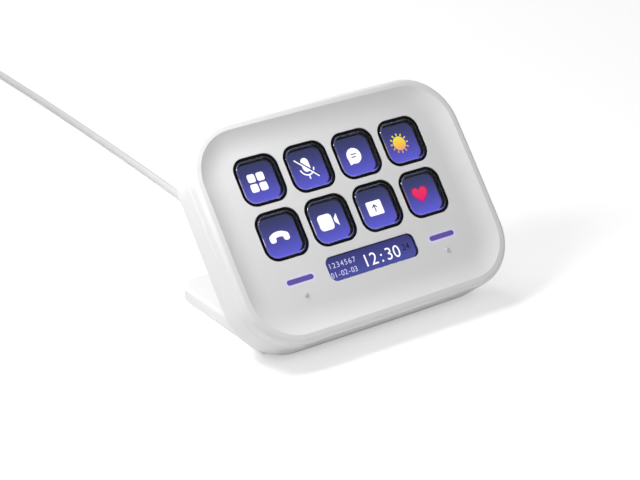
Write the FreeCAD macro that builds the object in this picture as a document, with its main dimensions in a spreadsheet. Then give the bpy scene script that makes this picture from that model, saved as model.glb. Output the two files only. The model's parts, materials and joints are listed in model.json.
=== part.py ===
import FreeCAD, Part
import math
import os
import re
import Sketcher

# Macro keypad on a fixed desk stand.
#
# The slab holds eight clear display keys, a long information window and two light bars in a
# dished front face. It leans back on an L-shaped stand whose foot holds a steel ballast plate.
# A thin lead leaves the middle of the foot's rear edge.
#
# Frames
# The row frame has +Z up, +X to the right and +Y to the back, with its origin on the table under
# the middle of the keypad.
# The deck frame lies in the dished face: X to the right, Y up along the face, Z out of it.
# The foot frame has its origin where the slab's back meets the level of the foot's underside.

Vector = FreeCAD.Vector

# Driving dimensions, in millimetres, degrees and counts
SIZES = {
    # Slab outline and front face
    "key_side_margin": 14.7,
    "key_top_margin": 11.8,
    "corner_round": 19.0,
    "side_bow": 0.45,
    "rim_height": 2.3,
    "rim_round": 1.6,
    "dish_inset": 2.9,
    "dish_round": 15.0,
    # Slab depth, measured back from the floor of the dish
    "floor_wall": 1.2,
    "skirt_deep": 2.8,
    "slab_back": 14.3,
    "side_wall": 1.8,
    "back_wall": 1.8,
    "back_round": 3.0,
    "lip_inset": 0.9,
    "lip_deep": 1.4,
    "seam_chamfer": 0.25,
    # Clearances
    "fit": 0.1,
    "slide_gap": 0.3,
    "stop_gap": 0.05,
    "overrun": 0.5,
    # Keys
    "key_pitch": 19.4,
    "window_bar": 2.2,
    "window_round": 4.8,
    "collar_wall": 0.65,
    "collar_drop": 0.25,
    "plate_thick": 0.4,
    "cap_top": 0.05,
    "cap_edge": 0.7,
    "flange_gap": 0.9,
    "flange_thick": 0.45,
    "key_travel": 0.8,
    "spring_tall": 1.1,
    "spring_wall": 0.45,
    "spring_inset": 0.2,
    "spring_foot_gap": 0.5,
    "rib_thick": 1.2,
    # Key display
    "view_inset": 0.15,
    "flex_thick": 0.15,
    "glass_thick": 1.2,
    "glass_margin": 1.2,
    "tray_deep": 2.85,
    "tray_foot": 6.0,
    # Information window
    "lens_wide": 36.2,
    "lens_tall": 8.6,
    "lens_round": 2.5,
    "lens_up": 21.0,
    "lens_gap": 2.1,
    "lens_lip": 1.0,
    "lens_lip_thick": 0.5,
    "module_side": 1.9,
    "module_end": 1.2,
    "module_thick": 1.8,
    # Light bars and touch points
    "light_inset": 24.4,
    "light_up": 20.9,
    "light_long": 10.2,
    "light_wide": 1.65,
    "light_flange": 1.1,
    "light_flange_thick": 0.7,
    "light_stem_end": 6.4,
    "point_up": 15.55,
    "point_wide": 1.3,
    "point_tall": 0.35,
    "point_round": 0.28,
    "electrode_wide": 9.0,
    "electrode_tall": 5.4,
    "electrode_thick": 0.2,
    # Main board and its posts
    "board_front": 7.0,
    "board_thick": 1.2,
    "board_side_gap": 4.7,
    "board_end_gap": 6.2,
    "board_round": 8.0,
    "chip_thick": 1.0,
    "chip_round": 0.3,
    "lamp_wide": 1.6,
    "post_inset": 4.2,
    "post_wide": 5.0,
    "screw_wide": 2.0,
    "screw_head_wide": 3.8,
    "screw_head_tall": 1.2,
    "screw_grip": 4.0,
    # Stand
    "lean": 51.5,
    "edge_drop": 1.08,
    "foot_inset": 11.2,
    "foot_reach": 61.25,
    "foot_thick": 4.4,
    "foot_round": 8.0,
    "foot_edge": 1.2,
    "arm_thick": 4.2,
    "arm_start": 7.0,
    "arm_reach": 46.0,
    "arm_round": 10.0,
    "heel_round": 12.0,
    "stand_screw_side": 18.0,
    "stand_screw_low": 13.5,
    "stand_screw_high": 38.0,
    "stand_screw_wide": 2.6,
    "stand_screw_head": 4.4,
    "stand_screw_grip": 3.0,
    # Foot's cover, hollow, ballast and pad
    "cover_edge": 2.8,
    "cover_thick": 0.8,
    "hollow_side": 7.5,
    "hollow_end": 2.5,
    "hollow_round": 4.0,
    "foot_top_wall": 1.2,
    "ballast_thick": 2.2,
    "ballast_bridge": 8.0,
    "pad_edge": 1.5,
    "pad_thick": 0.6,
    "base_screw_end": 8.0,
    "base_screw_head_tall": 0.5,
    # Lead and its strain relief
    "cord_wide": 3.0,
    "relief_up": 2.3,
    "relief_wide": 4.2,
    "relief_neck": 3.0,
    "relief_long": 13.0,
    "relief_collar": 1.4,
    "relief_flange_wide": 7.0,
    "relief_tip_wide": 3.8,
    "rib_groove": 0.35,
    # Coil and tie
    "coil_radius": 21.7,
    "coil_pitch": 3.5,
    "tie_thick": 0.6,
    "tie_wide": 6.0,
    "tie_slack": 0.3,
    # Plug
    "plug_wide": 12.2,
    "plug_thick": 6.2,
    "plug_long": 23.0,
    "plug_round": 2.6,
    "plug_neck_long": 8.0,
    "shell_wide": 8.3,
    "shell_thick": 2.5,
    "shell_long": 6.65,
    "shell_wall": 0.3,
    "tongue_thick": 0.7,
}

KEY_COLUMNS = 4
KEY_ROWS = 2
RELIEF_RIBS = 4
RELIEF_RIB_SHARE = 0.6
COIL_LAYERS = 4
COIL_LAYER_TURNS = 2.125
# How many points of each turn of the coil are looked at for its least gap
GAP_STATIONS = 48

# How near an edge has to lie to a level to be found there
NEAR = 1e-3

# Sizes worked out from the driving ones
DERIVED = {
    "slab_wide": "%d * key_pitch + 2 * key_side_margin" % KEY_COLUMNS,
    "slab_tall": "%d * key_pitch + key_top_margin + key_bottom_margin" % KEY_ROWS,
    "key_bottom_margin": "lens_up + lens_tall / 2 + lens_gap",
    "key_rise": "(key_bottom_margin - key_top_margin) / 2",
    "window_wide": "key_pitch - window_bar",
    "flange_wide": "cell_wide - 2 * flange_gap",
    "spring_top": "flange_wide - 2 * spring_inset",
    "spring_foot": "cell_wide - 2 * spring_foot_gap",
    "view_wide": "cap_wide - 2 * view_inset",
    "lens_low": "slab_tall / 2 - lens_up",
    "module_wide": "lens_wide + 2 * module_side",
    "module_tall": "lens_tall + 2 * module_end",
    "light_side": "slab_wide / 2 - light_inset",
    "light_low": "slab_tall / 2 - light_up",
    "point_low": "slab_tall / 2 - point_up",
    "foot_wide": "slab_wide - 2 * foot_inset",
    "cap_bottom": "floor_wall + plate_thick + stop_gap + flange_thick",
    "flange_top": "floor_wall + plate_thick + stop_gap",
    "collar_wide": "window_wide - 2 * fit",
    "collar_round": "window_round - fit",
    "opening_wide": "window_wide - 2 * fit - 2 * collar_wall",
    "opening_round": "window_round - fit - collar_wall",
    "cap_wide": "opening_wide - 2 * slide_gap",
    "cap_round": "opening_round - slide_gap",
    "flex_top": "cap_bottom + spring_tall",
    "glass_top": "flex_top + flex_thick",
    "frame_wide": "%d * key_pitch + rib_thick" % KEY_COLUMNS,
    "frame_tall": "%d * key_pitch + rib_thick" % KEY_ROWS,
    "cell_wide": "key_pitch - rib_thick",
    "glass_wide": "frame_wide - 2 * glass_margin",
    "glass_tall": "frame_tall - 2 * glass_margin",
    "tray_bottom": "glass_top + tray_deep",
    "board_wide": "slab_wide - 2 * side_wall - 2 * board_side_gap",
    "board_tall": "slab_tall - 2 * side_wall - 2 * board_end_gap",
    "board_back": "board_front + board_thick",
    "post_side": "board_wide / 2 - post_inset",
    "post_up": "board_tall / 2 - post_inset",
    "inside_back": "slab_back - back_wall",
    "dish_run": "sqrt(2 * dish_round * rim_height - rim_height * rim_height)",
    "side_radius": "(slab_tall * slab_tall / 4 + side_bow * side_bow) / (2 * side_bow)",
    "end_radius": "(slab_wide * slab_wide / 4 + side_bow * side_bow) / (2 * side_bow)",
    "deck_rise": "slab_tall / 2 - edge_drop",
    "deck_back": "cos(lean) * deck_rise - sin(lean) * slab_back",
    "deck_up": "sin(lean) * deck_rise + cos(lean) * slab_back",
    "front_top": "slab_back + rim_height - rim_round",
    "front_reach": "sin(lean) * front_top - cos(lean) * (rim_round - edge_drop) + rim_round",
    "middle": "(foot_reach - front_reach) / 2",
    "relief_level": "pad_thick + relief_up",
    "foot_front": "cos(lean) * arm_start",
    "foot_middle": "(foot_reach + foot_front) / 2",
    "pad_wide": "foot_wide - 2 * pad_edge",
    "pad_long": "foot_reach - foot_front - 2 * pad_edge",
    "pad_round": "foot_round - pad_edge",
    "cover_wide": "foot_wide - 2 * cover_edge",
    "cover_long": "foot_reach - foot_front - 2 * cover_edge",
    "cover_round": "foot_round - cover_edge",
    "hollow_wide": "cover_wide - 2 * hollow_side",
    "hollow_long": "cover_long - 2 * hollow_end",
    "hollow_top": "foot_thick - foot_top_wall",
    "hollow_back": "foot_middle + hollow_long / 2",
    "base_screw_side": "(cover_wide + hollow_wide) / 4",
    "base_screw_step": "cover_long - 2 * base_screw_end",
    "ballast_slot": "relief_flange_wide + 2 * slide_gap",
    "ballast_slot_long": "hollow_long - ballast_bridge",
    "cord_radius": "cord_wide / 2",
    "coil_level": "tie_thick + cord_wide / 2",
    "coil_top": "tie_thick + cord_wide / 2 + %d * coil_pitch" % (COIL_LAYERS - 1),
    "coil_depth": "%s * coil_pitch" % COIL_LAYER_TURNS,
}

document = FreeCAD.newDocument("macro_keypad")
sheet = document.addObject("Spreadsheet::Sheet", "Sizes")
for row, (alias, size) in enumerate(SIZES.items(), start=1):
    sheet.set("A%d" % row, alias)
    sheet.set("B%d" % row, str(size))
    sheet.setAlias("B%d" % row, alias)
document.recompute()

subparts = []


def sized(text):
    """The expression text with each size's name written as the sheet's cell."""

    def swap(match):
        word = match.group(0)
        if word in DERIVED:
            return "(" + sized(DERIVED[word]) + ")"
        if word in SIZES:
            return "Sizes." + word
        return word

    return re.sub(r"[a-z_]+", swap, text)


def number(text):
    """The value of an expression of the sheet's sizes."""
    return float(sheet.evalExpression(sized(text)))


# Placements


def place(item, x, y, z, turn="lean"):
    """Sets an item's Placement: its origin at x, y, z, tilted about X by turn."""
    item.Placement = FreeCAD.Placement(Vector(), FreeCAD.Rotation(Vector(1, 0, 0), 1))
    item.setExpression("Placement.Rotation.Angle", sized(turn))
    item.setExpression("Placement.Base.x", sized(x))
    item.setExpression("Placement.Base.y", sized(y))
    item.setExpression("Placement.Base.z", sized(z))


def place_on_deck(item, across="0", up="0"):
    """Places an item that is modelled in the deck frame, moved along the face."""
    place(
        item,
        across,
        "deck_back - middle + (%s) * cos(lean)" % up,
        "deck_up + pad_thick + (%s) * sin(lean)" % up,
    )


def place_on_foot(item):
    """Places an item that is modelled in the foot frame."""
    place(item, "0", "0 - middle", "pad_thick", turn="0")


def new_body(label):
    body = document.addObject("PartDesign::Body", label)
    body.Label = label
    body.AllowCompound = True
    return body


def deck_body(label, across="0", up="0"):
    body = new_body(label)
    place_on_deck(body, across, up)
    subparts.append(body)
    return body


def foot_body(label):
    body = new_body(label)
    place_on_foot(body)
    subparts.append(body)
    return body


# Sketches and the outlines drawn in them


def new_sketch(body, level="0", plane="XY_Plane"):
    """A sketch in one of the body's origin planes, moved along its normal to level."""
    drawing = body.newObject("Sketcher::SketchObject", "Sketch")
    support = next(item for item in body.Origin.OriginFeatures if item.Role == plane)
    drawing.AttachmentSupport = [(support, "")]
    drawing.MapMode = "FlatFace"
    drawing.setExpression("AttachmentOffset.Base.z", sized(level))
    return drawing


def hold(drawing, constraint, text):
    """Adds a dimension to a sketch and binds it to an expression."""
    index = drawing.addConstraint(constraint)
    drawing.setExpression("Constraints[%d]" % index, sized(text))


def hold_point(drawing, shape, point, x, y):
    hold(drawing, Sketcher.Constraint("DistanceX", -1, 1, shape, point, number(x)), x)
    hold(drawing, Sketcher.Constraint("DistanceY", -1, 1, shape, point, number(y)), y)


def join(drawing, first, second):
    """The end of the first shape runs smoothly into the start of the second."""
    drawing.addConstraint(Sketcher.Constraint("Tangent", first, 2, second, 1))


def draw_arc(drawing, x, y, radius, start, end):
    """An arc about x, y from the angle start to the angle end, in degrees."""
    circle = Part.Circle(Vector(x, y, 0), Vector(0, 0, 1), radius)
    return drawing.addGeometry(Part.ArcOfCircle(circle, math.radians(start), math.radians(end)), False)


def draw_circle(drawing, radius, x="0", y="0"):
    round_line = Part.Circle(Vector(number(x), number(y), 0), Vector(0, 0, 1), number(radius))
    circle = drawing.addGeometry(round_line, False)
    hold(drawing, Sketcher.Constraint("Radius", circle, number(radius)), radius)
    hold_point(drawing, circle, 3, x, y)


def draw_polygon(drawing, points):
    """A closed outline through points, each a pair of expressions."""
    corners = [Vector(number(x), number(y), 0) for x, y in points]
    lines = []
    for corner, following in zip(corners, corners[1:] + corners[:1]):
        lines.append(drawing.addGeometry(Part.LineSegment(corner, following), False))
    for line, following in zip(lines, lines[1:] + lines[:1]):
        drawing.addConstraint(Sketcher.Constraint("Coincident", line, 2, following, 1))
    for line, (x, y) in zip(lines, points):
        hold_point(drawing, line, 1, x, y)


def draw_rounded(drawing, wide, tall, corner, x="0", y="0"):
    """A rectangle with round corners about x, y."""
    arcs = []
    signs = ((1, 1), (-1, 1), (-1, -1), (1, -1))
    centres = []
    for across, up in signs:
        centre_x = "(%s) + %d * ((%s) / 2 - (%s))" % (x, across, wide, corner)
        centre_y = "(%s) + %d * ((%s) / 2 - (%s))" % (y, up, tall, corner)
        centres.append((centre_x, centre_y))
    for quarter, (centre_x, centre_y) in enumerate(centres):
        centre = (number(centre_x), number(centre_y))
        start = 90 * quarter
        arcs.append(draw_arc(drawing, *centre, number(corner), start, start + 90))
    for arc, following in zip(arcs, arcs[1:] + arcs[:1]):
        side = Part.LineSegment(drawing.getPoint(arc, 2), drawing.getPoint(following, 1))
        line = drawing.addGeometry(side, False)
        join(drawing, arc, line)
        join(drawing, line, following)
    for arc, (centre_x, centre_y) in zip(arcs, centres):
        hold(drawing, Sketcher.Constraint("Radius", arc, number(corner)), corner)
        hold_point(drawing, arc, 3, centre_x, centre_y)


def draw_slot(drawing, long, wide, x, y):
    """A slot with round ends, long in X, about x, y."""
    radius = "(%s) / 2" % wide
    right = "(%s) + ((%s) - (%s)) / 2" % (x, long, wide)
    left = "(%s) - ((%s) - (%s)) / 2" % (x, long, wide)
    arcs = [
        draw_arc(drawing, number(right), number(y), number(radius), -90, 90),
        draw_arc(drawing, number(left), number(y), number(radius), 90, 270),
    ]
    for arc, following in ((arcs[0], arcs[1]), (arcs[1], arcs[0])):
        side = Part.LineSegment(drawing.getPoint(arc, 2), drawing.getPoint(following, 1))
        line = drawing.addGeometry(side, False)
        join(drawing, arc, line)
        join(drawing, line, following)
    for arc, centre_x in zip(arcs, (right, left)):
        hold(drawing, Sketcher.Constraint("Radius", arc, number(radius)), radius)
        hold_point(drawing, arc, 3, centre_x, y)


def draw_slab_outline(drawing, inset="0"):
    """The slab's outline moved in by inset: four slightly bowed sides and four round corners."""
    side = number("side_radius - (%s)" % inset)
    end = number("end_radius - (%s)" % inset)
    corner = number("corner_round - (%s)" % inset)
    side_centre = number("side_radius - slab_wide / 2")
    end_centre = number("end_radius - slab_tall / 2")
    # The corner's centre lies side - corner from one bow's centre and end - corner from the other
    reach_side = side - corner
    reach_end = end - corner
    apart = math.hypot(side_centre, end_centre)
    along = (reach_side**2 - reach_end**2 + apart**2) / (2 * apart)
    off = math.sqrt(reach_side**2 - along**2)
    corner_x = -side_centre + (along * side_centre + off * end_centre) / apart
    corner_y = (-along * end_centre + off * side_centre) / apart
    side_turn = math.degrees(math.atan2(corner_y, corner_x + side_centre))
    end_turn = math.degrees(math.atan2(corner_y + end_centre, corner_x))
    bows = {
        0: (-side_centre, 0, side, -side_turn, side_turn),
        1: (0, -end_centre, end, end_turn, 180 - end_turn),
        2: (side_centre, 0, side, 180 - side_turn, 180 + side_turn),
        3: (0, end_centre, end, 180 + end_turn, 360 - end_turn),
    }
    corners = {
        0: (corner_x, corner_y, corner, side_turn, end_turn),
        1: (-corner_x, corner_y, corner, 180 - end_turn, 180 - side_turn),
        2: (-corner_x, -corner_y, corner, 180 + side_turn, 180 + end_turn),
        3: (corner_x, -corner_y, corner, 360 - end_turn, 360 - side_turn),
    }
    arcs = []
    for quarter in range(4):
        arcs.append(draw_arc(drawing, *bows[quarter]))
        arcs.append(draw_arc(drawing, *corners[quarter]))
    for arc, following in zip(arcs, arcs[1:] + arcs[:1]):
        join(drawing, arc, following)
    reaches = {
        0: ("slab_wide / 2 - side_radius", "0", "side_radius - (%s)" % inset),
        1: ("0", "slab_tall / 2 - end_radius", "end_radius - (%s)" % inset),
        2: ("side_radius - slab_wide / 2", "0", "side_radius - (%s)" % inset),
        3: ("0", "end_radius - slab_tall / 2", "end_radius - (%s)" % inset),
    }
    for quarter in range(4):
        x, y, radius = reaches[quarter]
        bow = arcs[2 * quarter]
        hold(drawing, Sketcher.Constraint("Radius", bow, number(radius)), radius)
        hold_point(drawing, bow, 3, x, y)
        hold(
            drawing,
            Sketcher.Constraint("Radius", arcs[2 * quarter + 1], corner),
            "corner_round - (%s)" % inset,
        )


# Features


def pad(body, drawing, length):
    feature = body.newObject("PartDesign::Pad", "Pad")
    feature.Profile = drawing
    feature.setExpression("Length", sized(length))
    return feature


def pocket(body, drawing, length):
    """Cuts a pocket and stops if it takes nothing away."""
    document.recompute()
    before = body.Shape.Volume
    feature = body.newObject("PartDesign::Pocket", "Pocket")
    feature.Profile = drawing
    feature.setExpression("Length", sized(length))
    document.recompute()
    if "Invalid" in feature.State or body.Shape.Volume >= before:
        raise RuntimeError("a pocket of %s cuts nothing: %s" % (body.Label, feature.State))
    return feature


def raise_block(body, outline, low, high):
    """Adds what outline draws, from the level low to the level high."""
    drawing = new_sketch(body, low)
    outline(drawing)
    return pad(body, drawing, "(%s) - (%s)" % (high, low))


def cut_block(body, outline, low, high, plane="XY_Plane"):
    """Cuts what outline draws, from the level high down to the level low."""
    drawing = new_sketch(body, high, plane)
    outline(drawing)
    return pocket(body, drawing, "(%s) - (%s)" % (high, low))


def round_edges(body, radius, chosen, kind="PartDesign::Fillet"):
    """Rounds or chamfers the edges of the body that chosen accepts."""
    document.recompute()
    tip = body.Tip
    names = ["Edge%d" % index for index, edge in enumerate(tip.Shape.Edges, start=1) if chosen(edge)]
    feature = body.newObject(kind, "Edge_Rounding")
    feature.Base = (tip, names)
    feature.setExpression("Radius" if kind == "PartDesign::Fillet" else "Size", sized(radius))
    document.recompute()
    return feature


def at_level(edge, level):
    """True if the whole edge lies at the height level of its body."""
    box = edge.BoundBox
    return abs(box.ZMin - number(level)) < NEAR and abs(box.ZMax - number(level)) < NEAR


def repeat_on_keys(body, originals):
    """Repeats features made at the lower left key over the whole grid of keys."""
    grid = body.newObject("PartDesign::MultiTransform", "Key_Grid")
    grid.Originals = originals
    rows = []
    for role, count in (("X_Axis", KEY_COLUMNS), ("Y_Axis", KEY_ROWS)):
        pattern = body.newObject("PartDesign::LinearPattern", "Row")
        axis = next(item for item in body.Origin.OriginFeatures if item.Role == role)
        pattern.Direction = (axis, [""])
        pattern.Occurrences = count
        pattern.setExpression("Length", sized("%d * key_pitch" % (count - 1)))
        rows.append(pattern)
    grid.Transformations = rows
    body.Tip = grid
    document.recompute()
    return grid


FIRST_KEY = (
    "%s * key_pitch" % ((1 - KEY_COLUMNS) / 2),
    "key_rise + %s * key_pitch" % ((1 - KEY_ROWS) / 2),
)
LIGHTS = ("-1 * light_side", "light_side")


# Slab


def make_dish_cutter():
    """A rounded block whose lower edge sweeps down to the floor of the dish."""
    cutter = new_body("dish_cutter")
    drawing = new_sketch(cutter)
    draw_slab_outline(drawing, "dish_inset + dish_run - dish_round")
    pad(cutter, drawing, "dish_round + overrun")
    round_edges(cutter, "dish_round", lambda edge: at_level(edge, "0"))
    return cutter


def make_front_shell():
    """The dished face with its rim, windows, light slots, touch points and board posts."""
    shell = deck_body("front_shell")
    raise_block(shell, draw_slab_outline, "-1 * skirt_deep", "rim_height")
    round_edges(shell, "rim_round", lambda edge: at_level(edge, "rim_height"))
    round_edges(
        shell, "seam_chamfer", lambda edge: at_level(edge, "-1 * skirt_deep"), kind="PartDesign::Chamfer"
    )
    dish = shell.newObject("PartDesign::Boolean", "Dish")
    dish.Type = "Cut"
    dish.setObjects([make_dish_cutter()])
    document.recompute()

    lip = new_sketch(shell, "-1 * skirt_deep - lip_deep")
    draw_slab_outline(lip, "lip_inset + fit")
    pad(shell, lip, "lip_deep + seam_chamfer + fit")
    cut_block(
        shell,
        lambda drawing: draw_slab_outline(drawing, "side_wall"),
        "-1 * skirt_deep - lip_deep - overrun",
        "-1 * floor_wall",
    )

    def draw_window(drawing):
        draw_rounded(drawing, "window_wide", "window_wide", "window_round", *FIRST_KEY)

    window = cut_block(shell, draw_window, "-1 * floor_wall - overrun", "overrun")
    repeat_on_keys(shell, [window])

    def draw_lens_window(drawing):
        draw_rounded(drawing, "lens_wide", "lens_tall", "lens_round", "0", "-1 * lens_low")

    cut_block(shell, draw_lens_window, "-1 * floor_wall - overrun", "overrun")

    def draw_light_slots(drawing):
        for side in LIGHTS:
            draw_slot(drawing, "light_long + 2 * fit", "light_wide + 2 * fit", side, "-1 * light_low")

    cut_block(shell, draw_light_slots, "-1 * floor_wall - overrun", "overrun")

    def draw_points(drawing):
        for side in LIGHTS:
            draw_circle(drawing, "point_wide / 2", side, "-1 * point_low")

    raise_block(shell, draw_points, "-1 * floor_wall / 2", "point_tall")
    round_edges(shell, "point_round", lambda edge: at_level(edge, "point_tall"))

    raise_block(shell, draw_at_posts("post_wide / 2"), "-1 * board_front", "fit - floor_wall")
    cut_block(
        shell,
        draw_at_posts("screw_wide / 2 + stop_gap"),
        "-1 * board_front - overrun",
        "screw_grip + overrun - board_front",
    )
    return shell


def make_rear_shell():
    """The tub behind the face, with a rebate for the front shell's lip."""
    shell = deck_body("rear_shell")
    raise_block(shell, draw_slab_outline, "-1 * slab_back", "-1 * skirt_deep")
    round_edges(shell, "back_round", lambda edge: at_level(edge, "-1 * slab_back"))
    round_edges(
        shell, "seam_chamfer", lambda edge: at_level(edge, "-1 * skirt_deep"), kind="PartDesign::Chamfer"
    )
    cut_block(
        shell,
        lambda drawing: draw_slab_outline(drawing, "side_wall"),
        "-1 * inside_back",
        "overrun - skirt_deep",
    )
    cut_block(
        shell,
        lambda drawing: draw_slab_outline(drawing, "lip_inset"),
        "-1 * skirt_deep - lip_deep - fit",
        "overrun - skirt_deep",
    )
    bores = draw_stand_screws("stand_screw_wide / 2 + fit")
    cut_block(shell, bores, "-1 * slab_back - overrun", "overrun - inside_back")
    return shell


def draw_stand_screws(radius):
    """Circles at the four screws that hold the stand's arm, in the deck frame."""

    def draw(drawing):
        for across in ("stand_screw_side", "-1 * stand_screw_side"):
            for rise in ("stand_screw_low", "stand_screw_high"):
                draw_circle(drawing, radius, across, "%s - slab_tall / 2" % rise)

    return draw


def make_stand_screws():
    """Four screws from inside the rear shell into the arm."""
    screws = deck_body("stand_screws")
    shanks = draw_stand_screws("stand_screw_wide / 2")
    raise_block(screws, shanks, "-1 * slab_back - stand_screw_grip", "-1 * inside_back")
    heads = draw_stand_screws("stand_screw_head / 2")
    raise_block(screws, heads, "-1 * inside_back", "screw_head_tall - inside_back")
    return screws


# Keys


def make_key_frame():
    """The black grid: a collar round every key, a thin plate and ribs between the cells."""
    frame = deck_body("key_frame")

    def draw_block(drawing):
        draw_rounded(drawing, "frame_wide", "frame_tall", "rib_thick * 2", "0", "key_rise")

    def draw_collar(drawing):
        draw_rounded(drawing, "collar_wide", "collar_wide", "collar_round", *FIRST_KEY)

    def draw_cell(drawing):
        draw_rounded(drawing, "cell_wide", "cell_wide", "rib_thick", *FIRST_KEY)

    def draw_opening(drawing):
        draw_rounded(drawing, "opening_wide", "opening_wide", "opening_round", *FIRST_KEY)

    raise_block(frame, draw_block, "-1 * flex_top", "-1 * floor_wall")
    collar = raise_block(frame, draw_collar, "-1 * floor_wall - plate_thick", "-1 * collar_drop")
    cell = cut_block(frame, draw_cell, "-1 * flex_top - overrun", "-1 * floor_wall - plate_thick")
    opening = cut_block(frame, draw_opening, "-1 * flex_top - overrun", "overrun")
    repeat_on_keys(frame, [collar, cell, opening])
    return frame


def key_places():
    """The number and centre of each key, by rows from the top left."""
    index = 0
    for row in range(KEY_ROWS):
        for column in range(KEY_COLUMNS):
            index += 1
            across = "%s * key_pitch" % (column - (KEY_COLUMNS - 1) / 2)
            up = "key_rise + %s * key_pitch" % ((KEY_ROWS - 1) / 2 - row)
            yield index, across, up


def make_key_cap(index, across, up):
    """A clear cap that slides in its collar, with a flange that stops it under the plate."""
    cap = deck_body("key_cap_%d" % index, across, up)
    raise_block(
        cap,
        lambda drawing: draw_rounded(drawing, "cap_wide", "cap_wide", "cap_round"),
        "-1 * cap_bottom",
        "cap_top",
    )
    round_edges(cap, "cap_edge", lambda edge: at_level(edge, "cap_top"))
    raise_block(
        cap,
        lambda drawing: draw_rounded(drawing, "flange_wide", "flange_wide", "cap_round"),
        "-1 * cap_bottom",
        "-1 * flange_top",
    )
    return cap


def make_key_spring(index, across, up):
    """A silicone collar that carries the cap's flange and folds as the key goes down."""
    spring = deck_body("key_spring_%d" % index, across, up)
    walls = (("PartDesign::AdditiveLoft", "0"), ("PartDesign::SubtractiveLoft", "2 * spring_wall"))
    for kind, thinner in walls:
        sections = []
        for level, wide in (("-1 * flex_top", "spring_foot"), ("-1 * cap_bottom", "spring_top")):
            drawing = new_sketch(spring, level)
            size = "%s - (%s)" % (wide, thinner)
            draw_rounded(drawing, size, size, "opening_round - (%s) / 2" % thinner)
            sections.append(drawing)
        document.recompute()
        wall = spring.newObject(kind, "Wall")
        wall.Profile = sections[0]
        wall.Sections = sections[1:]
        document.recompute()
    return spring


# Display stack


def make_switch_flex():
    """The thin contact sheet under the springs, open over each display."""
    flex = deck_body("switch_flex")
    raise_block(
        flex,
        lambda drawing: draw_rounded(drawing, "frame_wide", "frame_tall", "rib_thick * 2", "0", "key_rise"),
        "-1 * glass_top",
        "-1 * flex_top",
    )

    def draw_view(drawing):
        draw_rounded(drawing, "view_wide", "view_wide", "opening_round", *FIRST_KEY)

    view = cut_block(flex, draw_view, "-1 * glass_top - overrun", "overrun - flex_top")
    repeat_on_keys(flex, [view])
    return flex


def make_key_display():
    """The display glass behind the eight keys."""
    glass = deck_body("key_display")
    raise_block(
        glass,
        lambda drawing: draw_rounded(drawing, "glass_wide", "glass_tall", "rib_thick", "0", "key_rise"),
        "-1 * glass_top - glass_thick",
        "-1 * glass_top",
    )
    return glass


def make_display_tray():
    """The metal tray that holds the glass and stands on the board on four feet."""
    tray = deck_body("display_tray")
    raise_block(
        tray,
        lambda drawing: draw_rounded(drawing, "frame_wide", "frame_tall", "rib_thick * 2", "0", "key_rise"),
        "-1 * tray_bottom",
        "-1 * glass_top",
    )

    def draw_seat(drawing):
        wide = "glass_wide + 2 * fit"
        tall = "glass_tall + 2 * fit"
        draw_rounded(drawing, wide, tall, "rib_thick + fit", "0", "key_rise")

    cut_block(tray, draw_seat, "-1 * glass_top - glass_thick", "overrun - glass_top")

    def draw_feet(drawing):
        for across in (1, -1):
            for up in (1, -1):
                x = "%d * (frame_wide / 2 - tray_foot)" % across
                y = "key_rise + %d * (frame_tall / 2 - tray_foot)" % up
                draw_circle(drawing, "tray_foot / 2", x, y)

    raise_block(tray, draw_feet, "-1 * board_front", "fit - tray_bottom")
    return tray


def make_information_lens():
    """The clear window, flush with the face, with a flange behind the wall."""
    lens = deck_body("information_lens")

    def draw_wider(more):
        """The window's outline, made wider by more on every side."""

        def draw(drawing):
            wide = "lens_wide + 2 * (%s)" % more
            tall = "lens_tall + 2 * (%s)" % more
            draw_rounded(drawing, wide, tall, "lens_round + (%s)" % more, "0", "-1 * lens_low")

        return draw

    raise_block(lens, draw_wider("lens_lip"), "-1 * floor_wall - lens_lip_thick", "-1 * floor_wall")
    raise_block(lens, draw_wider("-1 * fit"), "-1 * floor_wall", "0")
    return lens


def make_information_display():
    """The long display module behind the window."""
    module = deck_body("information_display")

    def draw_module(drawing):
        draw_rounded(drawing, "module_wide", "module_tall", "rib_thick", "0", "-1 * lens_low")

    front = "-1 * floor_wall - lens_lip_thick"
    raise_block(module, draw_module, "%s - module_thick" % front, front)
    return module


def make_light_guide(label, side):
    """A light guide: head in the slot, flange behind the wall and a stem down to the lamp."""
    guide = deck_body(label)
    low = "-1 * light_low"
    flange_long = "light_long + 2 * light_flange"
    flange_wide = "light_wide + 2 * light_flange"
    raise_block(
        guide,
        lambda drawing: draw_slot(drawing, "light_long", "light_wide", side, low),
        "-1 * light_stem_end",
        "0",
    )
    raise_block(
        guide,
        lambda drawing: draw_slot(drawing, flange_long, flange_wide, side, low),
        "-1 * floor_wall - light_flange_thick",
        "-1 * floor_wall",
    )
    return guide


def make_touch_electrode(label, side):
    """A thin copper pad stuck behind the wall under a raised point."""
    electrode = deck_body(label)
    raise_block(
        electrode,
        lambda drawing: draw_rounded(
            drawing, "electrode_wide", "electrode_tall", "electrode_tall / 4", side, "-1 * point_low - fit"
        ),
        "-1 * floor_wall - electrode_thick",
        "-1 * floor_wall",
    )
    return electrode


# Board


def draw_at_posts(radius):
    """Circles at the four posts and screws of the main board."""

    def draw(drawing):
        for across in ("post_side", "-1 * post_side"):
            for up in ("post_up", "-1 * post_up"):
                draw_circle(drawing, radius, across, up)

    return draw


def make_main_board():
    board = deck_body("main_board")
    raise_block(
        board,
        lambda drawing: draw_rounded(drawing, "board_wide", "board_tall", "board_round"),
        "-1 * board_back",
        "-1 * board_front",
    )
    bores = draw_at_posts("screw_wide / 2 + fit")
    cut_block(board, bores, "-1 * board_back - overrun", "overrun - board_front")
    return board


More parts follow.
